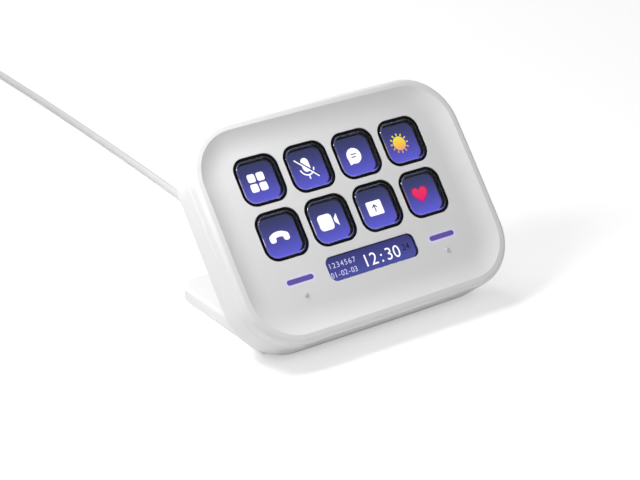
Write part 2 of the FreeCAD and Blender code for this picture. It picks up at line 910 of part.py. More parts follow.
def make_board_screws():
    """Four screws from behind the board into the front shell's posts."""
    screws = deck_body("board_screws")
    shanks = draw_at_posts("screw_wide / 2")
    raise_block(screws, shanks, "-1 * board_back", "screw_grip - board_front")
    heads = draw_at_posts("screw_head_wide / 2")
    raise_block(screws, heads, "-1 * board_back - screw_head_tall", "-1 * board_back")
    return screws


# Shares of the board's width and height: centre across, centre up, width and height of each part
BACK_PART_SHARES = (
    (-0.12, 0.10, 0.13, 0.19),
    (0.10, 0.14, 0.08, 0.13),
    (0.31, -0.04, 0.09, 0.08),
    (-0.31, -0.04, 0.07, 0.11),
    (0.00, -0.22, 0.09, 0.09),
)
# Each lamp's distance from the middle of its light bar, as a share of the bar's length
LAMP_SHARE = 0.28


def make_board_parts():
    """Chips and a socket behind the board, and four lamps in front of it."""
    parts = deck_body("board_parts")

    def draw_chips(drawing):
        for across, up, wide, tall in BACK_PART_SHARES:
            draw_rounded(
                drawing,
                "board_wide * %s" % wide,
                "board_tall * %s" % tall,
                "chip_round",
                "board_wide * %s" % across,
                "board_tall * %s" % up,
            )

    raise_block(parts, draw_chips, "-1 * board_back - chip_thick", "-1 * board_back")

    def draw_lamps(drawing):
        for side in LIGHTS:
            for way in (1, -1):
                across = "(%s) + %d * light_long * %s" % (side, way, LAMP_SHARE)
                draw_rounded(drawing, "lamp_wide", "lamp_wide", "chip_round", across, "-1 * light_low")

    raise_block(parts, draw_lamps, "-1 * board_front", "0 - light_stem_end - fit")
    return parts


# Stand


def make_stand():
    """The L-shaped stand: an arm on the slab's back and a hollow foot, with a rounded heel."""
    stand = foot_body("stand")
    arm_y = "sin(lean) * arm_thick"
    arm_z = "-1 * cos(lean) * arm_thick"
    heel_run = "(foot_thick + cos(lean) * arm_thick) / sin(lean)"
    profile = (
        ("foot_front", "0"),
        ("foot_reach", "0"),
        ("foot_reach", "foot_thick"),
        ("%s + cos(lean) * %s" % (arm_y, heel_run), "foot_thick"),
        ("%s + cos(lean) * arm_reach" % arm_y, "%s + sin(lean) * arm_reach" % arm_z),
        ("cos(lean) * arm_reach", "sin(lean) * arm_reach"),
        ("foot_front", "sin(lean) * arm_start"),
    )
    drawing = new_sketch(stand, plane="YZ_Plane")
    draw_polygon(drawing, profile)
    side_view = pad(stand, drawing, "foot_wide")
    side_view.Midplane = True
    document.recompute()

    heel_y = number(profile[3][0])
    heel_z = number(profile[3][1])
    reach = number("foot_reach")

    def in_heel(edge):
        box = edge.BoundBox
        return abs(box.YMin - heel_y) < NEAR and abs(box.ZMin - heel_z) < NEAR and box.XLength > NEAR

    def at_back_corner(edge):
        box = edge.BoundBox
        return abs(box.YMin - reach) < NEAR and box.XLength < NEAR and box.ZLength > NEAR

    arm_top = number("sin(lean) * arm_reach - cos(lean) * arm_thick")

    def at_arm_corner(edge):
        box = edge.BoundBox
        return box.ZMin > arm_top - NEAR and box.XLength < NEAR

    def at_foot_top(edge):
        box = edge.BoundBox
        return abs(box.ZMin - heel_z) < NEAR and abs(box.ZMax - heel_z) < NEAR and box.YMax > heel_y + NEAR

    round_edges(stand, "heel_round", in_heel)
    round_edges(stand, "foot_round", at_back_corner)
    round_edges(stand, "arm_round", at_arm_corner)
    round_edges(stand, "foot_edge", at_foot_top)

    def draw_cover_recess(drawing):
        wide = "cover_wide + 2 * fit"
        long = "cover_long + 2 * fit"
        draw_rounded(drawing, wide, long, "cover_round + fit", "0", "foot_middle")

    def draw_hollow(drawing):
        draw_rounded(drawing, "hollow_wide", "hollow_long", "hollow_round", "0", "foot_middle")

    for outline, deep in (
        (draw_cover_recess, "cover_thick"),
        (draw_hollow, "hollow_top"),
        (draw_base_screws("screw_wide / 2 + stop_gap"), "hollow_top"),
    ):
        cut_block(stand, outline, "-1 * overrun", deep)

    def draw_outlet(drawing):
        draw_circle(drawing, "relief_neck / 2 + fit", "0", "relief_up")

    cut_block(stand, draw_outlet, "-1 * foot_reach - overrun", "fit - hollow_back", plane="XZ_Plane")

    bores = new_sketch(stand)
    bores.AttachmentOffset = FreeCAD.Placement(Vector(), FreeCAD.Rotation(Vector(1, 0, 0), 1))
    bores.setExpression("AttachmentOffset.Rotation.Angle", sized("lean"))
    bores.setExpression("AttachmentOffset.Base.y", sized("deck_back + sin(lean) * slab_back"))
    bores.setExpression("AttachmentOffset.Base.z", sized("deck_up - cos(lean) * slab_back"))
    draw_stand_screws("stand_screw_wide / 2 + stop_gap")(bores)
    pocket(stand, bores, "stand_screw_grip + slide_gap")
    return stand


def draw_base_screws(radius):
    """Circles at the four screws of the base cover, in the foot frame."""

    def draw(drawing):
        for across in ("base_screw_side", "-1 * base_screw_side"):
            for way in (1, -1):
                draw_circle(drawing, radius, across, "foot_middle + %d * base_screw_step / 2" % way)

    return draw


def make_ballast_plate():
    """A steel plate in the foot's hollow, slotted for the lead."""
    plate = foot_body("ballast_plate")

    def draw_plate(drawing):
        wide = "hollow_wide - 2 * fit"
        long = "hollow_long - 2 * fit"
        draw_rounded(drawing, wide, long, "hollow_round - fit", "0", "foot_middle")

    def draw_lead_slot(drawing):
        long = "ballast_slot_long + 2 * overrun"
        middle = "hollow_back - ballast_slot_long / 2 + overrun"
        draw_rounded(drawing, "ballast_slot", long, "ballast_slot / 4", "0", middle)

    top = "cover_thick + ballast_thick"
    raise_block(plate, draw_plate, "cover_thick", top)
    cut_block(plate, draw_lead_slot, "cover_thick - overrun", "%s + overrun" % top)
    return plate


def make_base_cover():
    """The plate that closes the foot's hollow, with sunk screw heads."""
    cover = foot_body("base_cover")

    def draw_cover(drawing):
        draw_rounded(drawing, "cover_wide", "cover_long", "cover_round", "0", "foot_middle")

    raise_block(cover, draw_cover, "0", "cover_thick")
    cut_block(cover, draw_base_screws("screw_wide / 2 + fit"), "-1 * overrun", "cover_thick + overrun")
    cut_block(cover, draw_base_screws("screw_head_wide / 2 + fit"), "-1 * overrun", "base_screw_head_tall")
    return cover


def make_base_screws():
    """Four flat-headed screws through the base cover."""
    screws = foot_body("base_screws")
    raise_block(screws, draw_base_screws("screw_head_wide / 2"), "0", "base_screw_head_tall")
    raise_block(screws, draw_base_screws("screw_wide / 2"), "base_screw_head_tall", "hollow_top - fit")
    return screws


def make_foot_pad():
    """The non-slip pad under the foot."""
    foot_pad = foot_body("foot_pad")
    raise_block(
        foot_pad,
        lambda drawing: draw_rounded(drawing, "pad_wide", "pad_long", "pad_round", "0", "foot_middle"),
        "-1 * pad_thick",
        "0",
    )
    return foot_pad


def make_strain_relief():
    """A ribbed, tapered sleeve with a neck in the foot's rear wall and a flat flange inside it."""
    relief = new_body("strain_relief")
    place(relief, "0", "foot_reach - middle", "relief_level", turn="0")
    subparts.append(relief)
    inner_end = "hollow_back - foot_reach"
    profile = [
        ("0", inner_end),
        ("relief_neck / 2", inner_end),
        ("relief_neck / 2", "stop_gap"),
    ]
    step = "(relief_long - relief_collar) / %d" % RELIEF_RIBS
    for rib in range(RELIEF_RIBS):
        start = "relief_collar + %d * %s" % (rib, step)
        radius = "relief_wide / 2 - (relief_wide - relief_tip_wide) / 2 * %s" % (rib / RELIEF_RIBS)
        if rib == 0:
            profile.append((radius, "stop_gap"))
        else:
            profile.append(("%s - rib_groove" % radius, start))
            profile.append((radius, start))
        rib_end = "%s + %s * %s" % (start, step, RELIEF_RIB_SHARE)
        profile.append((radius, rib_end))
        profile.append(("%s - rib_groove" % radius, rib_end))
    profile.append(("cord_radius + fit", "relief_long"))
    profile.append(("0", "relief_long"))
    drawing = new_sketch(relief)
    draw_polygon(drawing, profile)
    sleeve = relief.newObject("PartDesign::Revolution", "Sleeve")
    sleeve.Profile = drawing
    sleeve.ReferenceAxis = (drawing, ["V_Axis"])
    sleeve.Angle = 360
    document.recompute()

    def draw_flange(drawing):
        thick = "hollow_top - cover_thick - 2 * fit"
        level = "(cover_thick + hollow_top) / 2 - relief_up"
        draw_rounded(drawing, "relief_flange_wide", thick, "rib_groove", "0", level)

    flange = new_sketch(relief, "foot_reach - hollow_back", "XZ_Plane")
    draw_flange(flange)
    pad(relief, flange, "relief_collar")
    document.recompute()
    return relief


# Lead
#
# The lead runs back from the strain relief, comes down to the table and lies in a long gentle
# bend. Most of its length is a neat coil of four layers, and a short tail leads to the plug.

# Route of the free stretch, chosen by hand: how far to the right and how far behind the strain
# relief's tip, both in cord diameters, and the level of the cord's middle
LEAD_ROUTE = (
    (0.0, 0.0, "relief_level"),
    (0.0, 5.5, "relief_level"),
    (0.4, 13.5, "cord_radius"),
    (1.2, 24.2, "cord_radius"),
    (1.93, 37.5, "cord_radius"),
    (2.6, 52.2, "cord_radius"),
    (3.13, 66.8, "cord_radius"),
    (3.37, 78.8, "cord_radius"),
    (3.43, 86.2, "coil_level"),
    (3.3, 93.5, "coil_level"),
)
# Route of the tail: how far on from the coil's end, how far to its left, and the level
TAIL_ROUTE = (
    (0.0, 0.0, "coil_top"),
    (4.0, 0.0, "coil_top"),
    (12.0, 0.2, "plug_thick / 2"),
    (16.0, 0.5, "plug_thick / 2"),
)

# Reach of each joining arc, as a share of the shorter of its two runs
ARC_SHARE = 0.45


def tube_along(edges, radius):
    """A round tube swept along edges that run smoothly into each other."""
    path = Part.Wire(edges)
    start = edges[0].Vertexes[0].Point
    heading = edges[0].tangentAt(edges[0].FirstParameter)
    section = Part.Wire(Part.makeCircle(radius, start, heading))
    return path.makePipeShell([section], True, False)


def rounded_route(points):
    """Straight runs joined by the largest tangent arcs that both runs allow, and the arcs' radii."""
    edges = []
    radii = []
    here = points[0]
    for previous, corner, following in zip(points, points[1:], points[2:]):
        back = corner.sub(previous)
        ahead = following.sub(corner)
        reach = ARC_SHARE * min(back.Length, ahead.Length)
        back.normalize()
        ahead.normalize()
        turn = back.getAngle(ahead)
        arc_start = corner.sub(back * reach)
        arc_end = corner.add(ahead * reach)
        radius = reach / math.tan(turn / 2)
        inward = ahead.sub(back)
        inward.normalize()
        centre = corner.add(inward * (radius / math.cos(turn / 2)))
        arc_middle = centre.sub(inward * radius)
        edges.append(Part.LineSegment(here, arc_start).toShape())
        edges.append(Part.Arc(arc_start, arc_middle, arc_end).toShape())
        radii.append(radius)
        here = arc_end
    edges.append(Part.LineSegment(here, points[-1]).toShape())
    return edges, radii


def coil_track(turn_count, height, start_angle, centre, radius, pitch):
    """Position and heading of the coil's centre line after turn_count turns.

    The line spirals in, climbs a layer over half a turn while the spiral reverses, and spirals
    out again, layer by layer.
    """
    rate = pitch / (2 * math.pi)
    angle_left = 2 * math.pi * turn_count
    here = radius
    way = -1
    level = height
    slope = 0.0
    climb = 0.0
    for layer in range(COIL_LAYERS):
        spiral = 2 * math.pi * COIL_LAYER_TURNS
        step = min(angle_left, spiral)
        here += way * rate * step
        angle_left -= step
        slope = way * rate
        climb = 0.0
        if angle_left <= 0 or layer == COIL_LAYERS - 1:
            break
        step = min(angle_left, math.pi)
        here += way * rate * (step - step * step / math.pi)
        level += pitch * (1 - math.cos(step)) / 2
        slope = way * rate * (1 - 2 * step / math.pi)
        climb = pitch * math.sin(step) / 2
        angle_left -= step
        way = -way
        if angle_left <= 0:
            break
    angle = start_angle + 2 * math.pi * turn_count
    outward = Vector(math.cos(angle), math.sin(angle), 0)
    around = Vector(-math.sin(angle), math.cos(angle), 0)
    position = centre.add(outward * here).add(Vector(0, 0, level))
    heading = (outward * slope).add(around * here).add(Vector(0, 0, climb))
    heading.normalize()
    return position, heading


def arc_through(start, corner, end):
    """The arc from start to end that is tangent to the lines through corner."""
    middle = start.add(end) * 0.5
    half_chord = end.sub(start).Length / 2
    side = corner.sub(start).Length
    half_turn = math.acos(min(1.0, half_chord / side))
    share = math.tan(half_turn / 2) / math.tan(half_turn)
    return Part.Arc(start, middle.add(corner.sub(middle) * share), end).toShape()


def biarc(start, heading, end, end_heading):
    """Two arcs that leave start along heading and reach end along end_heading."""
    across = end.sub(start)
    both = heading.add(end_heading)
    spread = 2 * (1 - heading.dot(end_heading))
    slant = across.dot(both)
    reach = (-slant + math.sqrt(slant * slant + spread * across.dot(across))) / spread
    first = start.add(heading * reach)
    second = end.sub(end_heading * reach)
    joint = first.add(second) * 0.5
    return [arc_through(start, first, joint), arc_through(joint, second, end)]


def least_gap(points, diameter):
    """The least distance between turns of the coil, less the cord's diameter."""
    least = math.inf
    for index, point in enumerate(points):
        for other in points[index + GAP_STATIONS * 3 // 4 :]:
            least = min(least, point.sub(other).Length)
    return least - diameter


def as_feature(label, shape):
    feature = document.addObject("Part::Feature", label)
    feature.Label = label
    feature.Shape = shape
    feature.Placement = FreeCAD.Placement()
    subparts.append(feature)
    return feature


def make_cord():
    """The lead's free stretch, its coil and its tail, with the tie and the plug."""
    radius = number("cord_radius")
    diameter = number("cord_wide")
    pitch = number("coil_pitch")
    outer = number("coil_radius")

    tip = number("foot_reach - middle + relief_long")
    route = []
    for right, behind, level in LEAD_ROUTE:
        route.append(Vector(right * diameter, tip + behind * diameter, number(level)))
    edges, radii = rounded_route(route)
    lead = tube_along(edges, radius)
    as_feature("cord_lead", lead)
    print("cord_lead arcs", [round(value, 1) for value in radii])
    print("cord_lead least arc in diameters", round(min(radii) / diameter, 1))
    lead_length = Part.Wire(edges).Length
    print("cord_lead volume ratio", lead.Volume / (math.pi * radius**2 * lead_length))

    entry = route[-1]
    arrival = route[-1].sub(route[-2])
    arrival.normalize()
    rate = pitch / (2 * math.pi)
    start_angle = math.atan2(arrival.y, arrival.x) - math.pi / 2 - math.atan2(rate, outer)
    height = entry.z
    loop_start = entry.add(arrival * diameter)
    centre = Vector(
        loop_start.x - outer * math.cos(start_angle), loop_start.y - outer * math.sin(start_angle), 0
    )
    turns = COIL_LAYERS * COIL_LAYER_TURNS + (COIL_LAYERS - 1) / 2
    stations = []
    for quarter in range(round(turns * 4) + 1):
        stations.append(coil_track(quarter / 4, height, start_angle, centre, outer, pitch))
    coil_edges = [Part.LineSegment(entry, loop_start).toShape()]
    for (start, heading), (end, end_heading) in zip(stations, stations[1:]):
        coil_edges.extend(biarc(start, heading, end, end_heading))
    last, departure = stations[-1]
    coil_end = last.add(departure * diameter)
    coil_edges.append(Part.LineSegment(last, coil_end).toShape())
    coil = tube_along(coil_edges, radius)
    as_feature("cord_coil", coil)
    fine = []
    for station in range(round(turns * GAP_STATIONS) + 1):
        fine.append(coil_track(station / GAP_STATIONS, height, start_angle, centre, outer, pitch)[0])
    print("cord_coil least gap to itself", round(least_gap(fine, diameter), 3))
    coil_length = Part.Wire(coil_edges).Length
    print("cord_coil volume ratio", coil.Volume / (math.pi * radius**2 * coil_length))

    left = Vector(-departure.y, departure.x, 0)
    tail_points = []
    for onward, aside, level in TAIL_ROUTE:
        point = coil_end.add(departure * (onward * diameter)).add(left * (aside * diameter))
        point.z = number(level)
        tail_points.append(point)
    tail_edges, tail_radii = rounded_route(tail_points)
    as_feature("cord_tail", tube_along(tail_edges, radius))
    print("cord_tail arcs", [round(value, 1) for value in tail_radii])
    tail_length = Part.Wire(tail_edges).Length
    print("cord length", round(lead_length + coil_length + tail_length, 1))

    make_tie(centre, start_angle)
    make_plug(tail_points[-1], tail_points[-1].sub(tail_points[-2]))


def make_tie(centre, start_angle):
    """A flat tie round the coil's turns, a quarter turn on from where the lead comes in."""
    tie = new_body("cable_tie")
    angle = start_angle + math.pi / 2
    outward = Vector(math.cos(angle), math.sin(angle), 0)
    along = Vector(math.sin(angle), -math.cos(angle), 0)
    turned = FreeCAD.Matrix(
        outward.x, 0, along.x, centre.x, outward.y, 0, along.y, centre.y, 0, 1, 0, 0, 0, 0, 0, 1
    )
    tie.Placement = FreeCAD.Placement(turned)
    subparts.append(tie)
    inner = "coil_radius - coil_depth - coil_pitch / 8 - cord_radius - 2 * tie_slack"
    outer = "coil_radius + coil_pitch / 8 + cord_radius + tie_slack"
    tall = "coil_top - coil_level + cord_wide + fit"
    middle_x = "((%s) + (%s)) / 2" % (inner, outer)
    middle_y = "tie_thick + (%s) / 2" % tall
    wide = "(%s) - (%s)" % (outer, inner)
    drawing = new_sketch(tie, "-1 * tie_wide / 2")
    outside = ["(%s) + 2 * tie_thick" % span for span in (wide, tall)]
    draw_rounded(drawing, *outside, "cord_radius + tie_thick", middle_x, middle_y)
    draw_rounded(drawing, wide, tall, "cord_radius", middle_x, middle_y)
    pad(tie, drawing, "tie_wide")
    document.recompute()


def make_plug(root, heading):
    """The moulded plug body and its hollow metal shell, lying on the table."""
    heading.z = 0
    heading.normalize()
    side = Vector(-heading.y, heading.x, 0)
    turned = FreeCAD.Matrix(
        side.x, 0, heading.x, root.x, side.y, 0, heading.y, root.y, 0, 1, 0, root.z, 0, 0, 0, 1
    )
    body = new_body("plug_body")
    shell = new_body("plug_shell")
    for piece in (body, shell):
        piece.Placement = FreeCAD.Placement(turned)
        subparts.append(piece)

    sections = []
    for level, radius in (("0", "cord_radius + 2 * fit"), ("plug_neck_long", "plug_thick / 2 - 4 * fit")):
        drawing = new_sketch(body, level)
        draw_circle(drawing, radius)
        sections.append(drawing)
    document.recompute()
    neck = body.newObject("PartDesign::AdditiveLoft", "Neck")
    neck.Profile = sections[0]
    neck.Sections = sections[1:]
    document.recompute()
    raise_block(
        body,
        lambda drawing: draw_rounded(drawing, "plug_wide", "plug_thick", "plug_round"),
        "plug_neck_long",
        "plug_neck_long + plug_long",
    )
    round_edges(body, "plug_round / 4", lambda edge: at_level(edge, "plug_neck_long + plug_long"))

    raise_block(
        shell,
        lambda drawing: draw_rounded(drawing, "shell_wide", "shell_thick", "shell_thick / 2 - fit"),
        "plug_neck_long + plug_long",
        "plug_neck_long + plug_long + shell_long",
    )

    def draw_mouth(drawing):
        wide = "shell_wide - 2 * shell_wall"
        thick = "shell_thick - 2 * shell_wall"
        draw_rounded(drawing, wide, thick, "(%s) / 2 - fit" % thick)
        draw_rounded(drawing, "shell_wide - 8 * shell_wall", "tongue_thick", "tongue_thick / 4")

    cut_block(
        shell,
        draw_mouth,
        "plug_neck_long + plug_long + shell_wall",
        "plug_neck_long + plug_long + shell_long + overrun",
    )


# Assembly

make_front_shell()
make_rear_shell()
make_key_frame()
for index, across, up in key_places():
    make_key_cap(index, across, up)
    make_key_spring(index, across, up)
make_switch_flex()
make_key_display()
make_display_tray()
make_information_lens()
make_information_display()
make_light_guide("light_guide_left", LIGHTS[0])
make_light_guide("light_guide_right", LIGHTS[1])
make_touch_electrode("touch_electrode_left", LIGHTS[0])
make_touch_electrode("touch_electrode_right", LIGHTS[1])
make_main_board()
make_board_parts()
make_board_screws()
make_stand()
make_stand_screws()
make_ballast_plate()
make_base_cover()
make_base_screws()
make_foot_pad()
make_strain_relief()
make_cord()

document.recompute()

# Every object has to be sound before anything is written
for item in document.Objects:
    if "Invalid" in item.State or "Error" in item.State:
        raise RuntimeError("%s failed: %s" % (item.Label, item.State))
for item in subparts:
    if item.Shape.isNull() or not item.Shape.isValid() or not item.Shape.Solids:
        raise RuntimeError("%s has no sound shape" % item.Label)

os.makedirs("parts", exist_ok=True)
for item in subparts:
    item.Shape.exportStep("parts/%s.step" % item.Label)
print("wrote", len(subparts), "sub-parts")
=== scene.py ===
# %% [markdown]
# # A macro keypad on a desk stand
#
# The object is a white slab with eight clear keys over small displays, a long information window,
# two violet light bars and two raised touch points. It leans back on an L-shaped stand, and a
# thin white lead leaves the middle of the foot. The solids come from the imported model, so this
# script only dresses them: it gives each one its material, adds the lit pictures behind the keys,
# puts a copy of each spring on the housing, and draws the lead as a smooth curve.

# %% Load the imported model
import json
import math

import bmesh
import bpy
from mathutils import Matrix, Vector
from mathutils.geometry import tessellate_polygon


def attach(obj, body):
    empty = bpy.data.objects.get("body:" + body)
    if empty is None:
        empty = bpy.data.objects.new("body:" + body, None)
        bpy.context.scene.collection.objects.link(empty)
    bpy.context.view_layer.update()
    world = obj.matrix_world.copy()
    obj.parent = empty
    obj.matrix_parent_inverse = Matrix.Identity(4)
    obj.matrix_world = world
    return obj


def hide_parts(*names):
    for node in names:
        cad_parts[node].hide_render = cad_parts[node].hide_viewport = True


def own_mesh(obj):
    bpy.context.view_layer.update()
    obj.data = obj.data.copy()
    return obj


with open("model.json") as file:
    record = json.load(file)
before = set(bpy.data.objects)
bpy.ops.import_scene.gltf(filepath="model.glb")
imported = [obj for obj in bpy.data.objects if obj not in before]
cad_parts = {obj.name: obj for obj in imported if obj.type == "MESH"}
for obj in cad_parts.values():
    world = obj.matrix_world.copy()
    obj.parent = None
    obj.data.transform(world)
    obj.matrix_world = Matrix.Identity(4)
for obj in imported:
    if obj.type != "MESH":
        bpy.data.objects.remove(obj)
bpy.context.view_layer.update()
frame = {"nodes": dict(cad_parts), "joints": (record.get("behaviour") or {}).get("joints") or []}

# %% [markdown]
# ## Units and the deck's own axes
#
# The scene is in metres, while sizes on such a gadget are easiest to read in millimetres. The
# dished face leans back, so pieces on it are placed in the deck's own axes: across, up along
# the face, and out of it. The keys press straight into the deck, so their joint gives the way in.
# The deck's origin lies on the face in the middle of the slab, and the middle of the eight keys
# lies a little above it.

# %% Units and deck axes
MM = 0.001
DECK_OUT = -Vector(frame["joints"][0]["axis"]).normalized()
DECK_ACROSS = Vector((1, 0, 0))
DECK_UP = DECK_OUT.cross(DECK_ACROSS)
DECK_ORIGIN = Vector((0, -11.703, 39.178)) * MM

KEY_COLUMNS, KEY_ROWS = 4, 2
KEY_PITCH = 19.4
KEY_RISE = 7.8


def on_deck(across, up, out):
    """The place in the scene of a point given in the deck's axes, in millimetres."""
    return DECK_ORIGIN + (DECK_ACROSS * across + DECK_UP * up + DECK_OUT * out) * MM


def key_centres():
    """The number and the centre of each key, by rows from the top left."""
    for row in range(KEY_ROWS):
        for column in range(KEY_COLUMNS):
            across = (column - (KEY_COLUMNS - 1) / 2) * KEY_PITCH
            up = KEY_RISE + ((KEY_ROWS - 1) / 2 - row) * KEY_PITCH
            yield row * KEY_COLUMNS + column + 1, across, up


print("deck leans back by", round(math.degrees(math.asin(DECK_UP.z)), 2), "degrees")

# %% [markdown]
# ## The camera
#
# The camera stands where the photograph's camera stood: to the left, a little above and close
# enough that the near side of the slab looks larger. Its place and its three axes were solved
# from the eight key centres, so the place is kept in the deck's axes, in millimetres.

# %% Camera
CAMERA_PLACE = (-308.95, -93.68, 486.53)
SENSOR_WIDE, FOCAL_LENGTH = 36, 98.08

camera_data = bpy.data.cameras.new("camera")
camera_data.sensor_width = SENSOR_WIDE
camera_data.lens = FOCAL_LENGTH
camera = bpy.data.objects.new("camera", camera_data)
bpy.context.collection.objects.link(camera)
camera_right = Vector((0.8241061, -0.56604035, -0.0211533))
camera_up = Vector((0.24805457, 0.32706921, 0.91186329))
camera_back = -Vector((0.50923283, 0.75671927, -0.40994863))
turned = Matrix((camera_right, camera_up, camera_back)).transposed().to_4x4()
camera.matrix_world = Matrix.Translation(on_deck(*CAMERA_PLACE)) @ turned
bpy.context.scene.camera = camera
print("camera at", tuple(round(x, 3) for x in camera.matrix_world.translation))

# %% [markdown]
# ## The lead's line
#
# The lead is one soft cord of about a metre and a half. A NURBS curve suits it, because its
# control points are few and its line has no kinks. The first points are the route across the
# table. The rest of the length is wound as for storage, in four layers of turns held by a tie:
# one layer winds inwards, the next one outwards, and half a turn climbs from each to the next.
# Control points of such a curve stand a little outside the circle that it runs on, so each
# point of the coil is pushed out by the same share. The tail then comes down to the plug; its
# points are given as the way onward, the way aside and the level. All of it is in millimetres.

# %% The lead's route
TURN = 2 * math.pi
CORD_WIDE = 3.0
COIL_RADIUS = 21.7
COIL_PITCH = 3.5
COIL_LAYERS = 4
LAYER_TURNS = 2.125
POINTS_PER_TURN = 16
COIL_LEVEL = 2.1

LEAD_ROUTE = (
    (0.0, 50.1, 2.9),
    (0.0, 66.6, 2.9),
    (1.2, 90.6, 1.5),
    (3.6, 122.7, 1.5),
    (5.79, 162.6, 1.5),
    (7.8, 206.7, 1.5),
    (9.39, 250.5, 1.5),
    (10.11, 286.5, 1.5),
    (10.29, 308.7, 2.1),
    (9.9, 330.6, 2.1),
)
TAIL_ROUTE = ((0.0, 0.0, 12.6), (12.0, 0.0, 12.6), (36.0, 0.6, 3.1), (48.0, 1.5, 3.1))


def coil_place(turns):
    """Radius and level of the coil's line after that many turns."""
    left = TURN * turns
    rate = COIL_PITCH / TURN
    radius, level, way = COIL_RADIUS, COIL_LEVEL, -1
    for layer in range(COIL_LAYERS):
        step = min(left, TURN * LAYER_TURNS)
        radius += way * rate * step
        left -= step
        if left <= 0 or layer == COIL_LAYERS - 1:
            break
        step = min(left, math.pi)
        radius += way * rate * (step - step * step / math.pi)
        level += COIL_PITCH * (1 - math.cos(step)) / 2
        left -= step
        way = -way
        if left <= 0:
            break
    return radius, level


def coil_points():
    """Control points of the coil, and the place and heading of its end."""
    entry = Vector(LEAD_ROUTE[-1])
    arrival = (entry - Vector(LEAD_ROUTE[-2])).normalized()
    inward = math.atan2(COIL_PITCH / TURN, COIL_RADIUS)
    start = math.atan2(arrival.y, arrival.x) - math.pi / 2 - inward
    loop_start = entry + arrival * CORD_WIDE
    outward = Vector((math.cos(start), math.sin(start), 0))
    centre = Vector((loop_start.x, loop_start.y, 0)) - outward * COIL_RADIUS
    turns = COIL_LAYERS * LAYER_TURNS + (COIL_LAYERS - 1) / 2
    points = []
    for index in range(round(turns * POINTS_PER_TURN)):
        turn = (index + 0.5) / POINTS_PER_TURN
        radius, level = coil_place(turn)
        angle = start + TURN * turn
        reach = radius / math.cos(math.pi / POINTS_PER_TURN)
        points.append(centre + Vector((reach * math.cos(angle), reach * math.sin(angle), level)))
    radius, level = coil_place(turns)
    angle = start + TURN * turns
    outward = Vector((math.cos(angle), math.sin(angle), 0))
    around = Vector((-math.sin(angle), math.cos(angle), 0))
    heading = (outward * COIL_PITCH / TURN + around * radius).normalized()
    end = centre + outward * radius + Vector((0, 0, level)) + heading * CORD_WIDE
    return points, end, heading


def tail_points(end, heading):
    """Control points from the coil's end down to the plug."""
    left = Vector((-heading.y, heading.x, 0))
    points = []
    for onward, aside, level in TAIL_ROUTE:
        point = end + heading * onward + left * aside
        points.append(Vector((point.x, point.y, level)))
    return points


turn_points, coil_end, coil_heading = coil_points()
cord_points = [Vector(point) for point in LEAD_ROUTE] + turn_points
cord_points += tail_points(coil_end, coil_heading)
print("cord control points:", len(cord_points))

# %% [markdown]
# ## The lead itself
#
# A curve becomes a round cord when it gets a bevel. Here the bevel's depth is one and each
# control point holds the cord's radius, because Blender adds that radius to the curve's box.
# The one curve takes the place of the three solids that stand for the lead.

# %% Draw the lead
ROUND_STEPS, LINE_STEPS = 5, 8

cord_curve = bpy.data.curves.new("lead_curve", "CURVE")
cord_curve.dimensions = "3D"
cord_curve.bevel_depth = 1.0
cord_curve.bevel_resolution = ROUND_STEPS
cord_curve.use_fill_caps = True
line = cord_curve.splines.new("NURBS")
line.points.add(len(cord_points) - 1)
for spot, place in zip(line.points, cord_points):
    spot.co = (*(place * MM), 1)
    spot.radius = CORD_WIDE / 2 * MM
line.order_u = 3
line.use_endpoint_u = True
line.resolution_u = LINE_STEPS
lead = bpy.data.objects.new("lead", cord_curve)
bpy.context.collection.objects.link(lead)
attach(lead, "housing")
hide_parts("cord_lead", "cord_coil", "cord_tail")
print("cord drawn,", CORD_WIDE, "mm wide")

# %% [markdown]
# ## Making materials
#
# Colours are picked as sRGB hex values, the way a colour chip is read, and the shader wants
# linear light, so one function converts them. One more function adds a node with its settings
# and its links, which keeps each material to a few lines. Patterns are laid out in the object's
# own coordinates, in metres, so a scale is one over the size of a pattern's cell.

# %% Colour and node helpers
def linear(hex_colour):
    """The linear RGBA of an sRGB hex colour."""
    shown = [int(hex_colour[index : index + 2], 16) / 255 for index in (1, 3, 5)]
    return (*(v / 12.92 if v <= 0.04045 else ((v + 0.055) / 1.055) ** 2.4 for v in shown), 1)


def add_node(tree, kind, settings=(), links=(), into=None):
    """Adds a node with its settings by name and its links as (socket, source) pairs.

    Where a socket is given as into, the node's first output feeds it.
    """
    node = tree.nodes.new(kind)
    for name, value in dict(settings).items():
        if hasattr(node, name):
            setattr(node, name, value)
        else:
            node.inputs[name].default_value = value
    for socket, source in links:
        tree.links.new(source, node.inputs[socket])
    if into:
        tree.links.new(node.outputs[0], into)
    return node


def new_material(name, **settings):
    """A material's node tree and Principled shader, given its constants by socket name."""
    material = bpy.data.materials.new(name)
    material.use_nodes = True
    shader = material.node_tree.nodes["Principled BSDF"]
    for socket, value in settings.items():
        shader.inputs[socket.replace("_", " ")].default_value = value
    return material.node_tree, shader


print("mid grey is", round(linear("#808080")[0], 3))

# %% [markdown]
# ## Moulded plastics and rubbers
#
# Nearly all of these come out of a mould, so they share two marks: the fine grain eroded into
# the mould, and a slow change of gloss over some centimetres, where hands and the mould's flow
# leave the surface a little smoother. The slab and the stand are satin ABS, an even white with
# soft highlights and no mirror image. The key frame is black ABS with a smoother finish, the
# touch domes are glossy ABS whose grey, darker than the shell's white, is painted shade, the
# cord's jacket and its grips are a softer white elastomer, and the springs and the foot pad are
# silicone and rubber, which are matt. The base cover's powder coat is sprayed and baked, and its
# slight orange peel is drawn in the same way. The real grain is finer than a tenth of a
# millimetre, which no render at this distance could show, so it is drawn about half a millimetre
# wide and very low.

# %% Moulded materials
GLOSS_PATCH_MM = 25


